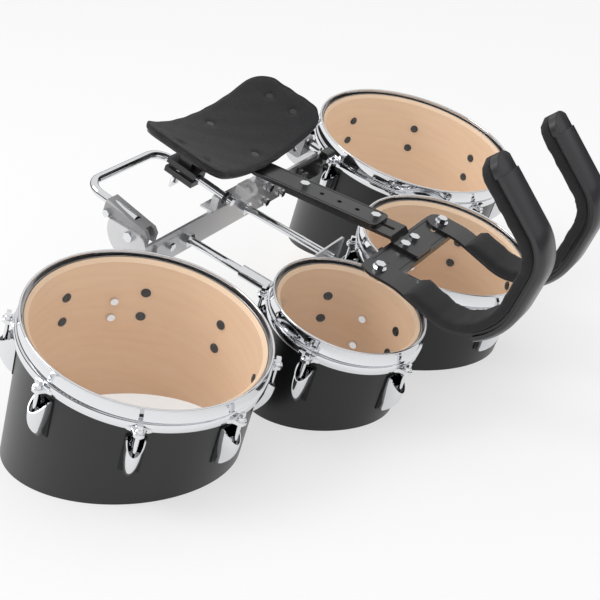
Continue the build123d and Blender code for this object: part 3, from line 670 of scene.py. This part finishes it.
def show(mesh: bpy.types.Mesh, finish: bpy.types.Material, angle: Optional[float] = 35.0) -> bpy.types.Object:
    """Puts a mesh in the scene under its own name.

    Args:
        mesh: the mesh, already in the row frame.
        finish: its material.
        angle: edges sharper than this many degrees stay sharp; None leaves the shading alone.

    Returns:
        The new object.
    """
    mesh.materials.clear()
    mesh.materials.append(finish)
    if angle is not None:
        mesh.shade_smooth()
        mesh.set_sharp_from_angle(angle=math.radians(angle))
    piece = bpy.data.objects.new(mesh.name, mesh)
    bpy.context.scene.collection.objects.link(piece)
    LOG.info("built %s with %d faces", mesh.name, len(mesh.polygons))
    return piece


def evaluated(tree: bpy.types.NodeTree, inputs: dict, name: str) -> bpy.types.Mesh:
    """Runs a Geometry Nodes group on an empty object and keeps its mesh.

    Args:
        tree: the group.
        inputs: values by input name.
        name: the new mesh's name.

    Returns:
        The group's result as a plain mesh.
    """
    host = bpy.data.objects.new(name, bpy.data.meshes.new(name))
    bpy.context.scene.collection.objects.link(host)
    modifier = host.modifiers.new("nodes", "NODES")
    modifier.node_group = tree
    for item in tree.interface.items_tree:
        if item.item_type == "SOCKET" and item.in_out == "INPUT" and item.name in inputs:
            modifier[item.identifier] = inputs[item.name]
    bpy.context.view_layer.update()
    graph = bpy.context.evaluated_depsgraph_get()
    mesh = bpy.data.meshes.new_from_object(host.evaluated_get(graph))
    mesh.name = name
    bpy.data.objects.remove(host)
    return mesh


class NodeTree:
    """Small helper that builds a Geometry Nodes group with named inputs."""

    def __init__(self, name: str, inputs: dict[str, str]) -> None:
        """Args:
            name: the group's name.
            inputs: socket types by input name.
        """
        self.tree = bpy.data.node_groups.new(name, "GeometryNodeTree")
        self.tree.interface.new_socket("Geometry", in_out="OUTPUT", socket_type="NodeSocketGeometry")
        for label, kind in inputs.items():
            self.tree.interface.new_socket(label, in_out="INPUT", socket_type=kind)
        self.start = self.tree.nodes.new("NodeGroupInput")
        self.end = self.tree.nodes.new("NodeGroupOutput")

    def node(self, kind: str, settings: dict, inputs: dict) -> bpy.types.Node:
        """Adds a node: its settings first, then its values and links."""
        node = self.tree.nodes.new(kind)
        for key, value in settings.items():
            setattr(node, key, value)
        for key, value in inputs.items():
            if isinstance(value, bpy.types.NodeSocket):
                self.tree.links.new(value, node.inputs[key])
            else:
                node.inputs[key].default_value = value
        return node

    def given(self, label: str) -> bpy.types.NodeSocket:
        """The group's input of that name."""
        return self.start.outputs[label]

    def shape_of(self, label: str) -> bpy.types.NodeSocket:
        """The geometry of the object given under that name, in its own coordinates."""
        own = {"transform_space": "ORIGINAL"}
        return self.node("GeometryNodeObjectInfo", own, {"Object": self.given(label)}).outputs["Geometry"]

    def close(self, geometry: bpy.types.NodeSocket) -> bpy.types.NodeTree:
        """Realizes, paints and puts out the geometry.

        Args:
            geometry: the finished shape.

        Returns:
            The group.
        """
        real = self.node("GeometryNodeRealizeInstances", {}, {"Geometry": geometry})
        painted = self.node(
            "GeometryNodeSetMaterial", {}, {"Geometry": real.outputs[0], "Material": self.given("Finish")}
        )
        self.tree.links.new(painted.outputs[0], self.end.inputs[0])
        return self.tree


def smooth_tree(angle: float) -> bpy.types.NodeTree:
    """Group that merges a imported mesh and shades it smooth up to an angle.

    Args:
        angle: the sharpest edge, in degrees, that still shades smooth.

    Returns:
        The group.
    """
    tree = NodeTree("smooth_by_angle", {"Geometry": "NodeSocketGeometry"})
    merged = tree.node("GeometryNodeMergeByDistance", {},
                       {"Geometry": tree.given("Geometry"), "Distance": MERGE})
    faces = tree.node("GeometryNodeSetShadeSmooth", {}, {"Geometry": merged.outputs[0]})
    edge = tree.node("GeometryNodeInputMeshEdgeAngle", {}, {})
    gentle = tree.node("FunctionNodeCompare", {"data_type": "FLOAT", "operation": "LESS_THAN"},
                       {0: edge.outputs["Unsigned Angle"], 1: math.radians(angle)})
    edges = tree.node("GeometryNodeSetShadeSmooth", {"domain": "EDGE"},
                      {"Geometry": faces.outputs[0], "Shade Smooth": gentle.outputs[0]})
    tree.tree.links.new(edges.outputs[0], tree.end.inputs[0])
    return tree.tree


def ring_tree() -> bpy.types.NodeTree:
    """Group that sets copies of a piece round a circle, each turned to face out."""
    tree = NodeTree("ring_of_pieces", {
        "Count": "NodeSocketInt",
        "Radius": "NodeSocketFloat",
        "First Angle": "NodeSocketFloat",
        "Piece": "NodeSocketObject",
        "Finish": "NodeSocketMaterial",
    })
    points = tree.node("GeometryNodePoints", {}, {"Count": tree.given("Count")})
    index = tree.node("GeometryNodeInputIndex", {}, {})
    step = tree.node("ShaderNodeMath", {"operation": "DIVIDE"}, {0: 2 * math.pi, 1: tree.given("Count")})
    turn = tree.node("ShaderNodeMath", {"operation": "MULTIPLY_ADD"},
                     {0: index.outputs[0], 1: step.outputs[0], 2: tree.given("First Angle")})
    cosine = tree.node("ShaderNodeMath", {"operation": "COSINE"}, {0: turn.outputs[0]})
    sine = tree.node("ShaderNodeMath", {"operation": "SINE"}, {0: turn.outputs[0]})
    way = tree.node("ShaderNodeCombineXYZ", {}, {0: cosine.outputs[0], 1: sine.outputs[0]})
    place = tree.node("ShaderNodeVectorMath", {"operation": "SCALE"},
                      {0: way.outputs[0], "Scale": tree.given("Radius")})
    ring = tree.node("GeometryNodeSetPosition", {},
                     {"Geometry": points.outputs[0], "Position": place.outputs[0]})
    facing = tree.node("ShaderNodeCombineXYZ", {}, {2: turn.outputs[0]})
    piece = tree.shape_of("Piece")
    copies = tree.node("GeometryNodeInstanceOnPoints", {}, {
        "Points": ring.outputs[0],
        "Instance": piece,
        "Rotation": facing.outputs[0],
    })
    return tree.close(copies.outputs[0])


def hoop_tree() -> bpy.types.NodeTree:
    """Group that bends a hoop's section round a circle."""
    tree = NodeTree("bent_hoop", {
        "Radius": "NodeSocketFloat",
        "Segments": "NodeSocketInt",
        "Section": "NodeSocketObject",
        "Finish": "NodeSocketMaterial",
    })
    line = tree.node("GeometryNodeMeshToCurve", {}, {"Mesh": tree.shape_of("Section")})
    circle = tree.node("GeometryNodeCurvePrimitiveCircle", {"mode": "RADIUS"},
                       {"Resolution": tree.given("Segments"), "Radius": tree.given("Radius")})
    bent = tree.node("GeometryNodeCurveToMesh", {},
                     {"Curve": circle.outputs[0], "Profile Curve": line.outputs[0]})
    return tree.close(bent.outputs[0])


@dataclass
class Hardware:
    """Plated fittings of the four drums: hoops, lugs, rods and the screws inside."""

    palette: Palette
    rod_out: float = 16.0
    rod_radius: float = 2.8
    rod_low: float = -78.0
    key_half: float = 2.9
    hoop_height: float = 33.0
    hoop_step: float = 19.5
    bead: float = 1.7
    lug_top: float = -48.0
    lug_bottom: float = -110.0
    lug_half_width: float = 12.0
    lug_depth: float = 22.5
    lug_heights: tuple[float, ...] = (0.0, 0.04, 0.12, 0.24, 0.38, 0.52, 0.66, 0.8, 0.92, 0.98, 1.0)
    throat_heights: tuple[float, ...] = (1.0, 0.95, 0.85, 0.72, 0.62)
    lug_wall: float = 2.0
    screw_levels: tuple[float, float] = (-58.5, -98.5)
    screw_profile: tuple[tuple[float, float], ...] = (
        (6.8, 0.1), (6.8, 1.5), (6.0, 2.6), (3.6, 3.4), (1.6, 3.5), (1.5, 2.2),
    )
    wall: float = 6.5
    round_sides: int = 20
    hoop_segments: int = 160

    def build(self) -> None:
        """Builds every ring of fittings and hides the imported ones."""
        ring = ring_tree()
        hoop = hoop_tree()
        chrome = self.palette.chrome
        steel = self.palette.steel
        self._ring_of(ring, "lugs_plated", self._lug(), "lugs", chrome)
        self._ring_of(ring, "tension_rods_plated", self._rod(), "tension_rods", chrome)
        self._ring_of(ring, "lug_screws_black", self._screws(), "lug_screws", steel)
        for drum in DRUMS:
            self._hoop(hoop, ring, drum)

    def _ring_of(self, tree: bpy.types.NodeTree, name: str, draft: Draft, node: str,
                 finish: bpy.types.Material) -> None:
        """Sets one piece round every drum and shows them as one.

        Args:
            tree: the ring group.
            name: the new piece's name.
            draft: one copy, its axis at a drum's wall.
            node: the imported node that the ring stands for.
            finish: its material.
        """
        model = bpy.data.objects.new("model", draft.to_mesh("model", Matrix.Scale(MM, 4)))
        joined = bmesh.new()
        for drum in DRUMS:
            mesh = self._turned(tree, drum, model, finish)
            joined.from_mesh(mesh)
        mesh = bpy.data.meshes.new(name)
        joined.to_mesh(mesh)
        joined.free()
        bpy.data.objects.remove(model)
        piece = show(mesh, finish)
        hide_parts(node)
        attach(piece, Body.DRUMS.value)

    @staticmethod
    def _turned(tree: bpy.types.NodeTree, drum: Drum, model: bpy.types.Object,
                finish: bpy.types.Material) -> bpy.types.Mesh:
        """One drum's ring of copies, in the row frame."""
        mesh = evaluated(tree, {
            "Count": drum.lugs,
            "Radius": drum.radius * MM,
            "First Angle": math.radians(drum.first_angle),
            "Piece": model,
            "Finish": finish,
        }, "ring")
        mesh.transform(SEAT @ Matrix.Translation((*drum.center, 0.0)) @ Matrix.Scale(1 / MM, 4))
        return mesh

    def _lug(self) -> Draft:
        """Scoop-shaped lug: a hollow slanted mouth above and a point low on the shell."""
        draft = Draft()
        outer = [self._lug_row(t, 0.0) for t in self.lug_heights]
        inner = [self._lug_row(t, self.lug_wall) for t in self.throat_heights]
        draft.tube(outer + inner)
        return draft

    def _lug_row(self, t: float, inset: float) -> list[Point]:
        """One ring of the lug's skin.

        Args:
            t: 0 at the point below, 1 at the mouth.
            inset: how far the ring lies inside the outer skin.

        Returns:
            Points round the section.
        """
        swell = 1 - (1 - t) ** 2.4
        half = 1.6 + (self.lug_half_width - 1.6) * swell ** 0.62 - inset
        depth = 2.4 + (self.lug_depth - 2.4) * swell ** 0.85 - inset
        steps = 18
        row = []
        for i in range(steps + 1):
            a = math.pi * (i / steps - 0.5)
            x = 1.0 + inset * 0.6 + (depth * math.cos(a) ** 0.85 if 0 < i < steps else 0.0)
            y = half * math.sin(a)
            mouth = self.lug_top - max(0.0, x - 5.0) * 0.83
            row.append((x, y, self.lug_bottom + (mouth - self.lug_bottom) * t))
        return row

    def _rod(self) -> Draft:
        """Key rod with a washer and a square end."""
        top = -self.hoop_height + 5.5
        r = self.rod_radius
        draft = Draft()
        profile = [
            (r, self.rod_low), (r, top + 0.1), (6.2, top + 0.1), (6.2, top + 1.4), (5.0, top + 1.5),
            (4.4, top + 4.0), (3.9, top + 4.4),
        ]
        draft.lathe(profile, (self.rod_out, 0.0), self.round_sides)
        k = self.key_half
        draft.block((self.rod_out - k, -k, top + 4.3), (self.rod_out + k, k, top + 10.0))
        return draft

    def _screws(self) -> Draft:
        """Two low black domes on the inside of the wall."""
        draft = Draft()
        for level in self.screw_levels:
            rows = []
            for radius, out in self.screw_profile:
                angles = [2 * math.pi * i / self.round_sides for i in range(self.round_sides)]
                x = -self.wall - out
                rows.append([(x, radius * math.cos(a), level + radius * math.sin(a)) for a in angles])
            draft.tube(rows)
        return draft

    def _hoop_section(self) -> list[tuple[float, float]]:
        """The hoop's section: distance out from the shell, and height."""
        b = self.bead
        bead = []
        for i in range(11):
            a = math.radians(205 - 27 * i)
            bead.append((4.9 + b * math.cos(a), -b + b * math.sin(a)))
        lower = [
            (5.4, -4.6),
            (5.4, -self.hoop_step),
            (6.2, -self.hoop_step - 1.2),
            (8.3, -self.hoop_step - 1.8),
            (9.0, -self.hoop_step - 2.8),
            (9.0, -self.hoop_height + 1.0),
            (8.4, -self.hoop_height),
            (7.4, -self.hoop_height),
            (7.2, -self.hoop_height + 1.0),
            (7.2, -self.hoop_step - 1.6),
            (3.9, -self.hoop_step - 1.5),
            (3.8, -4.0),
        ]
        return bead + lower

    def _hoop(self, tree: bpy.types.NodeTree, ring: bpy.types.NodeTree, drum: Drum) -> None:
        """Bends one hoop and adds its ears."""
        section = self._hoop_section()
        mesh = bpy.data.meshes.new("section")
        edges = [(i, (i + 1) % len(section)) for i in range(len(section))]
        mesh.from_pydata([(x * MM, -z * MM, 0.0) for x, z in section], edges, [])
        model = bpy.data.objects.new("section", mesh)
        band = evaluated(tree, {
            "Radius": drum.radius * MM,
            "Segments": self.hoop_segments,
            "Section": model,
            "Finish": self.palette.chrome,
        }, "band")
        band.transform(SEAT @ Matrix.Translation((*drum.center, 0.0)) @ Matrix.Scale(1 / MM, 4))
        ears = bpy.data.objects.new("ear", self._ear().to_mesh("ear", Matrix.Scale(MM, 4)))
        joined = bmesh.new()
        joined.from_mesh(band)
        joined.from_mesh(self._turned(ring, drum, ears, self.palette.chrome))
        bmesh.ops.recalc_face_normals(joined, faces=joined.faces)
        whole = bpy.data.meshes.new(f"hoop_{drum.name}_plated")
        joined.to_mesh(whole)
        joined.free()
        bpy.data.objects.remove(model)
        bpy.data.objects.remove(ears)
        piece = show(whole, self.palette.chrome)
        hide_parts(f"hoop_{drum.name}")
        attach(piece, Body.DRUMS.value)

    def _ear(self) -> Draft:
        """Claw on a hoop that the rod pulls down, drawn to both sides into the skirt."""
        low = -self.hoop_height + 0.5
        draft = Draft()
        plan = [(7.6, -16.0), (9.6, -14.0), (11.5, -9.5), (15.0, -7.6), (self.rod_out + 4, -6.4),
                (self.rod_out + 7, -3.0)]
        plan += [(x, -y) for x, y in reversed(plan)]
        rows = [[(x, y, z) for x, y in plan] for z in (low, low + 4.4)]
        top = [(x - 0.6 if x > 9 else x, y * 0.95, low + 5.0) for x, y in plan]
        draft.tube(rows + [top])
        return draft


@dataclass
class BellyPad:
    """Felt-covered cushion on the belly plate, with sunk tufts."""

    finish: bpy.types.Material
    middle_y: float = 147.0
    half_x: float = 148.4
    half_y: float = 67.4
    corner: float = 34.0
    thick: float = 10.0
    top_radius: float = 310.0
    axis_z: float = 378.06
    spacing: float = 3.0
    rings: int = 56
    edge_drop: float = 2.2
    tuft_depth: float = 3.4
    tuft_radius: float = 6.2
    dish_depth: float = 1.1
    dish_radius: float = 15.0
    tufts: tuple[tuple[float, float], ...] = (
        (0.0, 186.0), (0.0, 101.0), (-120.0, 158.0), (-120.0, 112.0), (120.0, 168.0), (120.0, 122.0),
    )

    def build(self) -> None:
        """Builds the cushion as rings from its middle out and round its edge."""
        rim = self._rim(self.spacing)
        edge = self.thick / 2
        draft = Draft()
        rows = []
        shares = [0.004] + [i / self.rings for i in range(1, self.rings + 1)]
        for share in shares:
            rows.append([self._top(x * share, y * share, 1.0 - share) for x, y in rim])
        for step in range(1, 9):
            a = math.radians(180 * step / 8)
            out = edge * math.sin(a) * 0.55
            rows.append([self._edge(x, y, out, edge + edge * math.cos(a)) for x, y in rim])
        rows.append([self._edge(x * 0.5, y * 0.5, 0.0, 0.0) for x, y in rim])
        draft.tube(rows)
        mesh = draft.to_mesh("belly_cushion", SEAT @ RISE)
        piece = show(mesh, self.finish, 80.0)
        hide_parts("belly_pad")
        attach(piece, Body.BELLY.value)

    def _rim(self, spacing: float) -> list[tuple[float, float]]:
        """Rounded rectangle round the cushion's middle, its points evenly spaced."""
        corners = []
        for cx, cy, start in ((1, 1, 0), (-1, 1, 90), (-1, -1, 180), (1, -1, 270)):
            mid_x = cx * (self.half_x - self.corner)
            mid_y = cy * (self.half_y - self.corner)
            for i in range(25):
                a = math.radians(start + 90 * i / 24)
                corners.append(Vector((mid_x + self.corner * math.cos(a), mid_y + self.corner * math.sin(a))))
        points = []
        for a, b in zip(corners, corners[1:] + corners[:1]):
            steps = max(1, round((b - a).length / spacing))
            points += [tuple(a.lerp(b, i / steps)) for i in range(steps)]
        return points

    def _top(self, x: float, y: float, inward: float) -> Point:
        """A point on the upper side: slightly crowned, drawn in at the edge and at the tufts."""
        height = self.thick - self.edge_drop * math.exp(-inward / 0.03)
        for tx, ty in self.tufts:
            gap = math.hypot(x - tx, y + self.middle_y - ty)
            height -= self.tuft_depth * math.exp(-((gap / self.tuft_radius) ** 2))
            height -= self.dish_depth * math.exp(-gap / self.dish_radius)
        height += 0.35 * math.sin(x * 0.11 + 1.3) * math.sin(y * 0.13)
        return self._bent(x, y, height)

    def _edge(self, x: float, y: float, out: float, height: float) -> Point:
        """A point on the rounded side, with the felt's slight waves."""
        reach = math.hypot(x, y)
        out += 0.5 * math.sin(x * 0.17 + y * 0.23) if out else 0.0
        grown = 1 + out / reach
        return self._bent(x * grown, y * grown, min(height, self.thick - self.edge_drop) + 0.3)

    def _bent(self, x: float, y: float, height: float) -> Point:
        """Bends a point of the flat cushion over the belly plate."""
        radius = self.top_radius + self.thick - height
        return (MIDDLE_X + x, self.middle_y + y, self.axis_z - math.sqrt(radius * radius - x * x))


@dataclass
class ShoulderPads:
    """Felt linings of the two shoulder hooks."""

    finish: bpy.types.Material
    corners: tuple[tuple[float, float], ...] = (
        (-156.0, 57.55), (-213.0, 57.55), (-306.3, 34.4), (-364.1, 80.6), (-376.1, 197.7), (-266.0, 283.0),
    )
    bends: tuple[float, ...] = (90.0, 66.0, 95.0, 60.0)
    start_share: float = 0.17
    half_width: float = 28.6
    inner: float = 2.4
    outer: float = 17.6
    start_length: float = 9.0

    def build(self) -> None:
        """Builds both linings."""
        for side, name, body in ((-1, "near", Body.HOOK_NEAR), (1, "far", Body.HOOK_FAR)):
            piece = show(self._lining(MIDDLE_X + side * HOOK_X, f"shoulder_felt_{name}"), self.finish, 80.0)
            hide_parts(f"shoulder_pad_{name}")
            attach(piece, body.value)

    def _route(self) -> list[tuple[float, float, float, float]]:
        """Points along the beam with their directions, from the pad's start to the tip."""
        points = [Vector(c) for c in self.corners]
        first = points[1].lerp(points[2], self.start_share)
        route = [first]
        for number in range(2, 5):
            before = (points[number - 1] - points[number]).normalized()
            after = (points[number + 1] - points[number]).normalized()
            half = before.angle(after) / 2
            radius = self.bends[number - 1]
            begin = points[number] + before * (radius / math.tan(half))
            finish = points[number] + after * (radius / math.tan(half))
            centre = points[number] + (before + after).normalized() * (radius / math.sin(half))
            runs = 6
            last = route[-1]
            route += [last.lerp(begin, (i + 1) / runs) for i in range(runs)]
            for i in range(1, 13):
                chord = begin.lerp(finish, i / 12) - centre
                route.append(centre + chord.normalized() * radius)
        last = route[-1]
        route += [last.lerp(points[5], (i + 1) / 14) for i in range(14)]
        result = []
        for i, point in enumerate(route):
            way = (route[min(i + 1, len(route) - 1)] - route[max(i - 1, 0)]).normalized()
            result.append((point.x, point.y, way.x, way.y))
        return result

    def _lining(self, x: float, name: str) -> bpy.types.Mesh:
        """One lining as a swept rounded section with round ends."""
        route = self._route()
        lengths = [0.0]
        for a, b in zip(route, route[1:]):
            lengths.append(lengths[-1] + math.hypot(b[0] - a[0], b[1] - a[1]))
        total = lengths[-1]
        rows = []
        for (y, z, wy, wz), along in zip(route, lengths):
            start = min(1.0, (along + 0.2) / self.start_length)
            tip = min(1.0, (total - along + 0.1) / self.half_width)
            width = self.half_width * quarter_round(tip) * (0.93 + 0.07 * quarter_round(start))
            rise = 0.25 + 0.75 * quarter_round(start)
            rise *= 0.55 + 0.45 * quarter_round(min(1.0, tip * 1.6))
            ripple = 0.35 * math.sin(along * 0.21 + x) + 0.25 * math.sin(along * 0.53)
            row = []
            for u, v in self._section():
                depth = self.inner + (self.outer - self.inner + ripple) * v * rise
                row.append((x + u * (width + ripple), y + wz * depth, z - wy * depth))
            rows.append(row)
        draft = Draft()
        draft.tube(rows)
        return draft.to_mesh(name, SEAT)

    @staticmethod
    def _section() -> list[tuple[float, float]]:
        """Rounded section: share of the half width, and share of the thickness."""
        points = []
        for i in range(24):
            a = 2 * math.pi * i / 24
            c, s = math.cos(a), math.sin(a)
            u = math.copysign(abs(c) ** 0.42, c)
            v = 0.5 + 0.5 * math.copysign(abs(s) ** 0.55, s)
            points.append((u, v))
        return points


@dataclass
class PackedParts:
    """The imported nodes: each gets its finish and smooth shading."""

    frame: dict
    palette: Palette
    smooth_angle: float = 32.0

    def dress(self) -> None:
        """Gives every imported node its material."""
        smooth = smooth_tree(self.smooth_angle)
        slots = {part["node"]: part["material_slot"] for part in self.frame["record"]["subparts"]}
        for name, piece in self.frame["nodes"].items():
            piece.data.materials.clear()
            piece.data.materials.append(self.palette.for_slot(name, slots[name]))
            piece.modifiers.new("smooth", "NODES").node_group = smooth
            LOG.info("dressed %s", name)


@dataclass
class Studio:
    """Pale floor, soft lights and the photograph's viewpoint."""

    focal_px: float = 1253.88
    image_px: float = 600.0
    eye: Point = (-1473.7, -643.4, 920.9)
    right: Point = (0.5212, -0.8142, 0.2561)
    down: Point = (-0.3685, -0.4854, -0.7929)
    forward: Point = (0.7698, 0.3188, -0.5529)
    floor_size: float = 30.0
    band_radius: float = 6.0
    band_bottom: float = 0.05
    band_top: float = 2.0
    world_strength: float = 0.85
    key_place: Point = (-2.2, 2.4, 3.0)
    key_target: Point = (0.0, 0.0, 0.1)
    key_size: float = 2.2
    key_watts: float = 55.0

    def build(self) -> None:
        """Builds the whole stage."""
        self._camera()
        self._floor()
        self._horizon()
        self._world()
        self._lights()

    def _camera(self) -> None:
        """Puts the camera where the photograph was taken from."""
        data = bpy.data.cameras.new("photo_camera")
        data.sensor_width = 36.0
        data.lens = 36.0 * self.focal_px / self.image_px
        data.clip_end = 100.0
        camera = bpy.data.objects.new("photo_camera", data)
        turn = SEAT.to_quaternion().to_matrix()
        axes = [turn @ Vector(v) for v in (self.right, self.down, self.forward)]
        look = Matrix((axes[0], -axes[1], -axes[2])).transposed().normalized().to_4x4()
        camera.matrix_world = Matrix.Translation(SEAT @ Vector(self.eye)) @ look
        bpy.context.scene.collection.objects.link(camera)
        bpy.context.scene.camera = camera

    def _floor(self) -> None:
        """Lays a wide white floor."""
        mesh = bpy.data.meshes.new("floor")
        half = self.floor_size / 2
        corners = [(-half, -half, 0), (half, -half, 0), (half, half, 0), (-half, half, 0)]
        mesh.from_pydata(corners, [], [(0, 1, 2, 3)])
        floor = bpy.data.objects.new("floor", mesh)
        bpy.context.scene.collection.objects.link(floor)
        floor.data.materials.append(self._paper())

    @staticmethod
    def _paper() -> bpy.types.Material:
        """White paper whose seen side is half lifted to full white, so that it keeps a soft shadow."""
        paint = Paint("white_paper")
        mottle = paint.noise(3.0, 2.0, 0.5)
        color = paint.blend(mottle * 0.2, (0.93, 0.93, 0.93), (0.91, 0.91, 0.91))
        paper = paint.node("ShaderNodeBsdfDiffuse", {}, {"Color": color}).outputs[0]
        full = {"Color": rgba((1.0, 1.0, 1.0)), "Strength": 1.0}
        white = paint.node("ShaderNodeEmission", {}, full).outputs[0]
        ray = paint.node("ShaderNodeLightPath", {}, {}).outputs
        seen = (Value(paint, ray["Is Camera Ray"]) + Value(paint, ray["Is Glossy Ray"])
                + Value(paint, ray["Is Transmission Ray"])).clamped()
        mixed = paint.node("ShaderNodeMixShader", {}, {0: seen * WHITE_SHARE, 1: paper, 2: white})
        paint.tree.links.new(mixed.outputs[0], paint.output.inputs[0])
        return paint.material

    def _world(self) -> None:
        """Fills the room with plain white light."""
        world = bpy.data.worlds.new("white_room")
        world.use_nodes = True
        background = world.node_tree.nodes["Background"]
        background.inputs["Color"].default_value = (1.0, 1.0, 1.0, 1.0)
        background.inputs["Strength"].default_value = self.world_strength
        bpy.context.scene.world = world

    def _horizon(self) -> None:
        """Stands a dark band far round the set, seen only in its plated parts."""
        draft = Draft()
        angles = [2 * math.pi * i / 64 for i in range(64)]
        levels = (self.band_bottom, self.band_top)
        draft.strip([[(self.band_radius * math.cos(a), self.band_radius * math.sin(a), z) for a in angles]
                     for z in levels])
        paint = Paint("dark_cloth")
        tone = paint.noise(2.0, 2.0, 0.5)
        dark = paint.finish({"Base Color": paint.blend(tone, (0.008, 0.008, 0.008), (0.014, 0.014, 0.014)),
                             "Roughness": 0.9})
        band = show(draft.to_mesh("dark_band", Matrix.Identity(4)), dark, None)
        band.visible_camera = False
        band.visible_diffuse = False
        band.visible_shadow = False

    def _lights(self) -> None:
        """Hangs one large soft lamp at the upper left and back of the view."""
        data = bpy.data.lights.new("key_light", "AREA")
        data.shape = "SQUARE"
        data.size = self.key_size
        data.energy = self.key_watts
        lamp = bpy.data.objects.new("key_light", data)
        lamp.location = self.key_place
        aim = Vector(self.key_target) - Vector(self.key_place)
        lamp.rotation_euler = aim.to_track_quat("-Z", "Y").to_euler()
        bpy.context.scene.collection.objects.link(lamp)


def main() -> None:
    """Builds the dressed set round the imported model."""
    logging.basicConfig(level=logging.INFO, format="%(message)s")
    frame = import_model()
    scene = bpy.context.scene
    scene.view_settings.view_transform = "Standard"
    Studio().build()
    palette = Palette()
    PackedParts(frame, palette).dress()
    Hardware(palette).build()
    BellyPad(palette.felt).build()
    ShoulderPads(palette.felt).build()


if __name__ == "__main__":
    main()
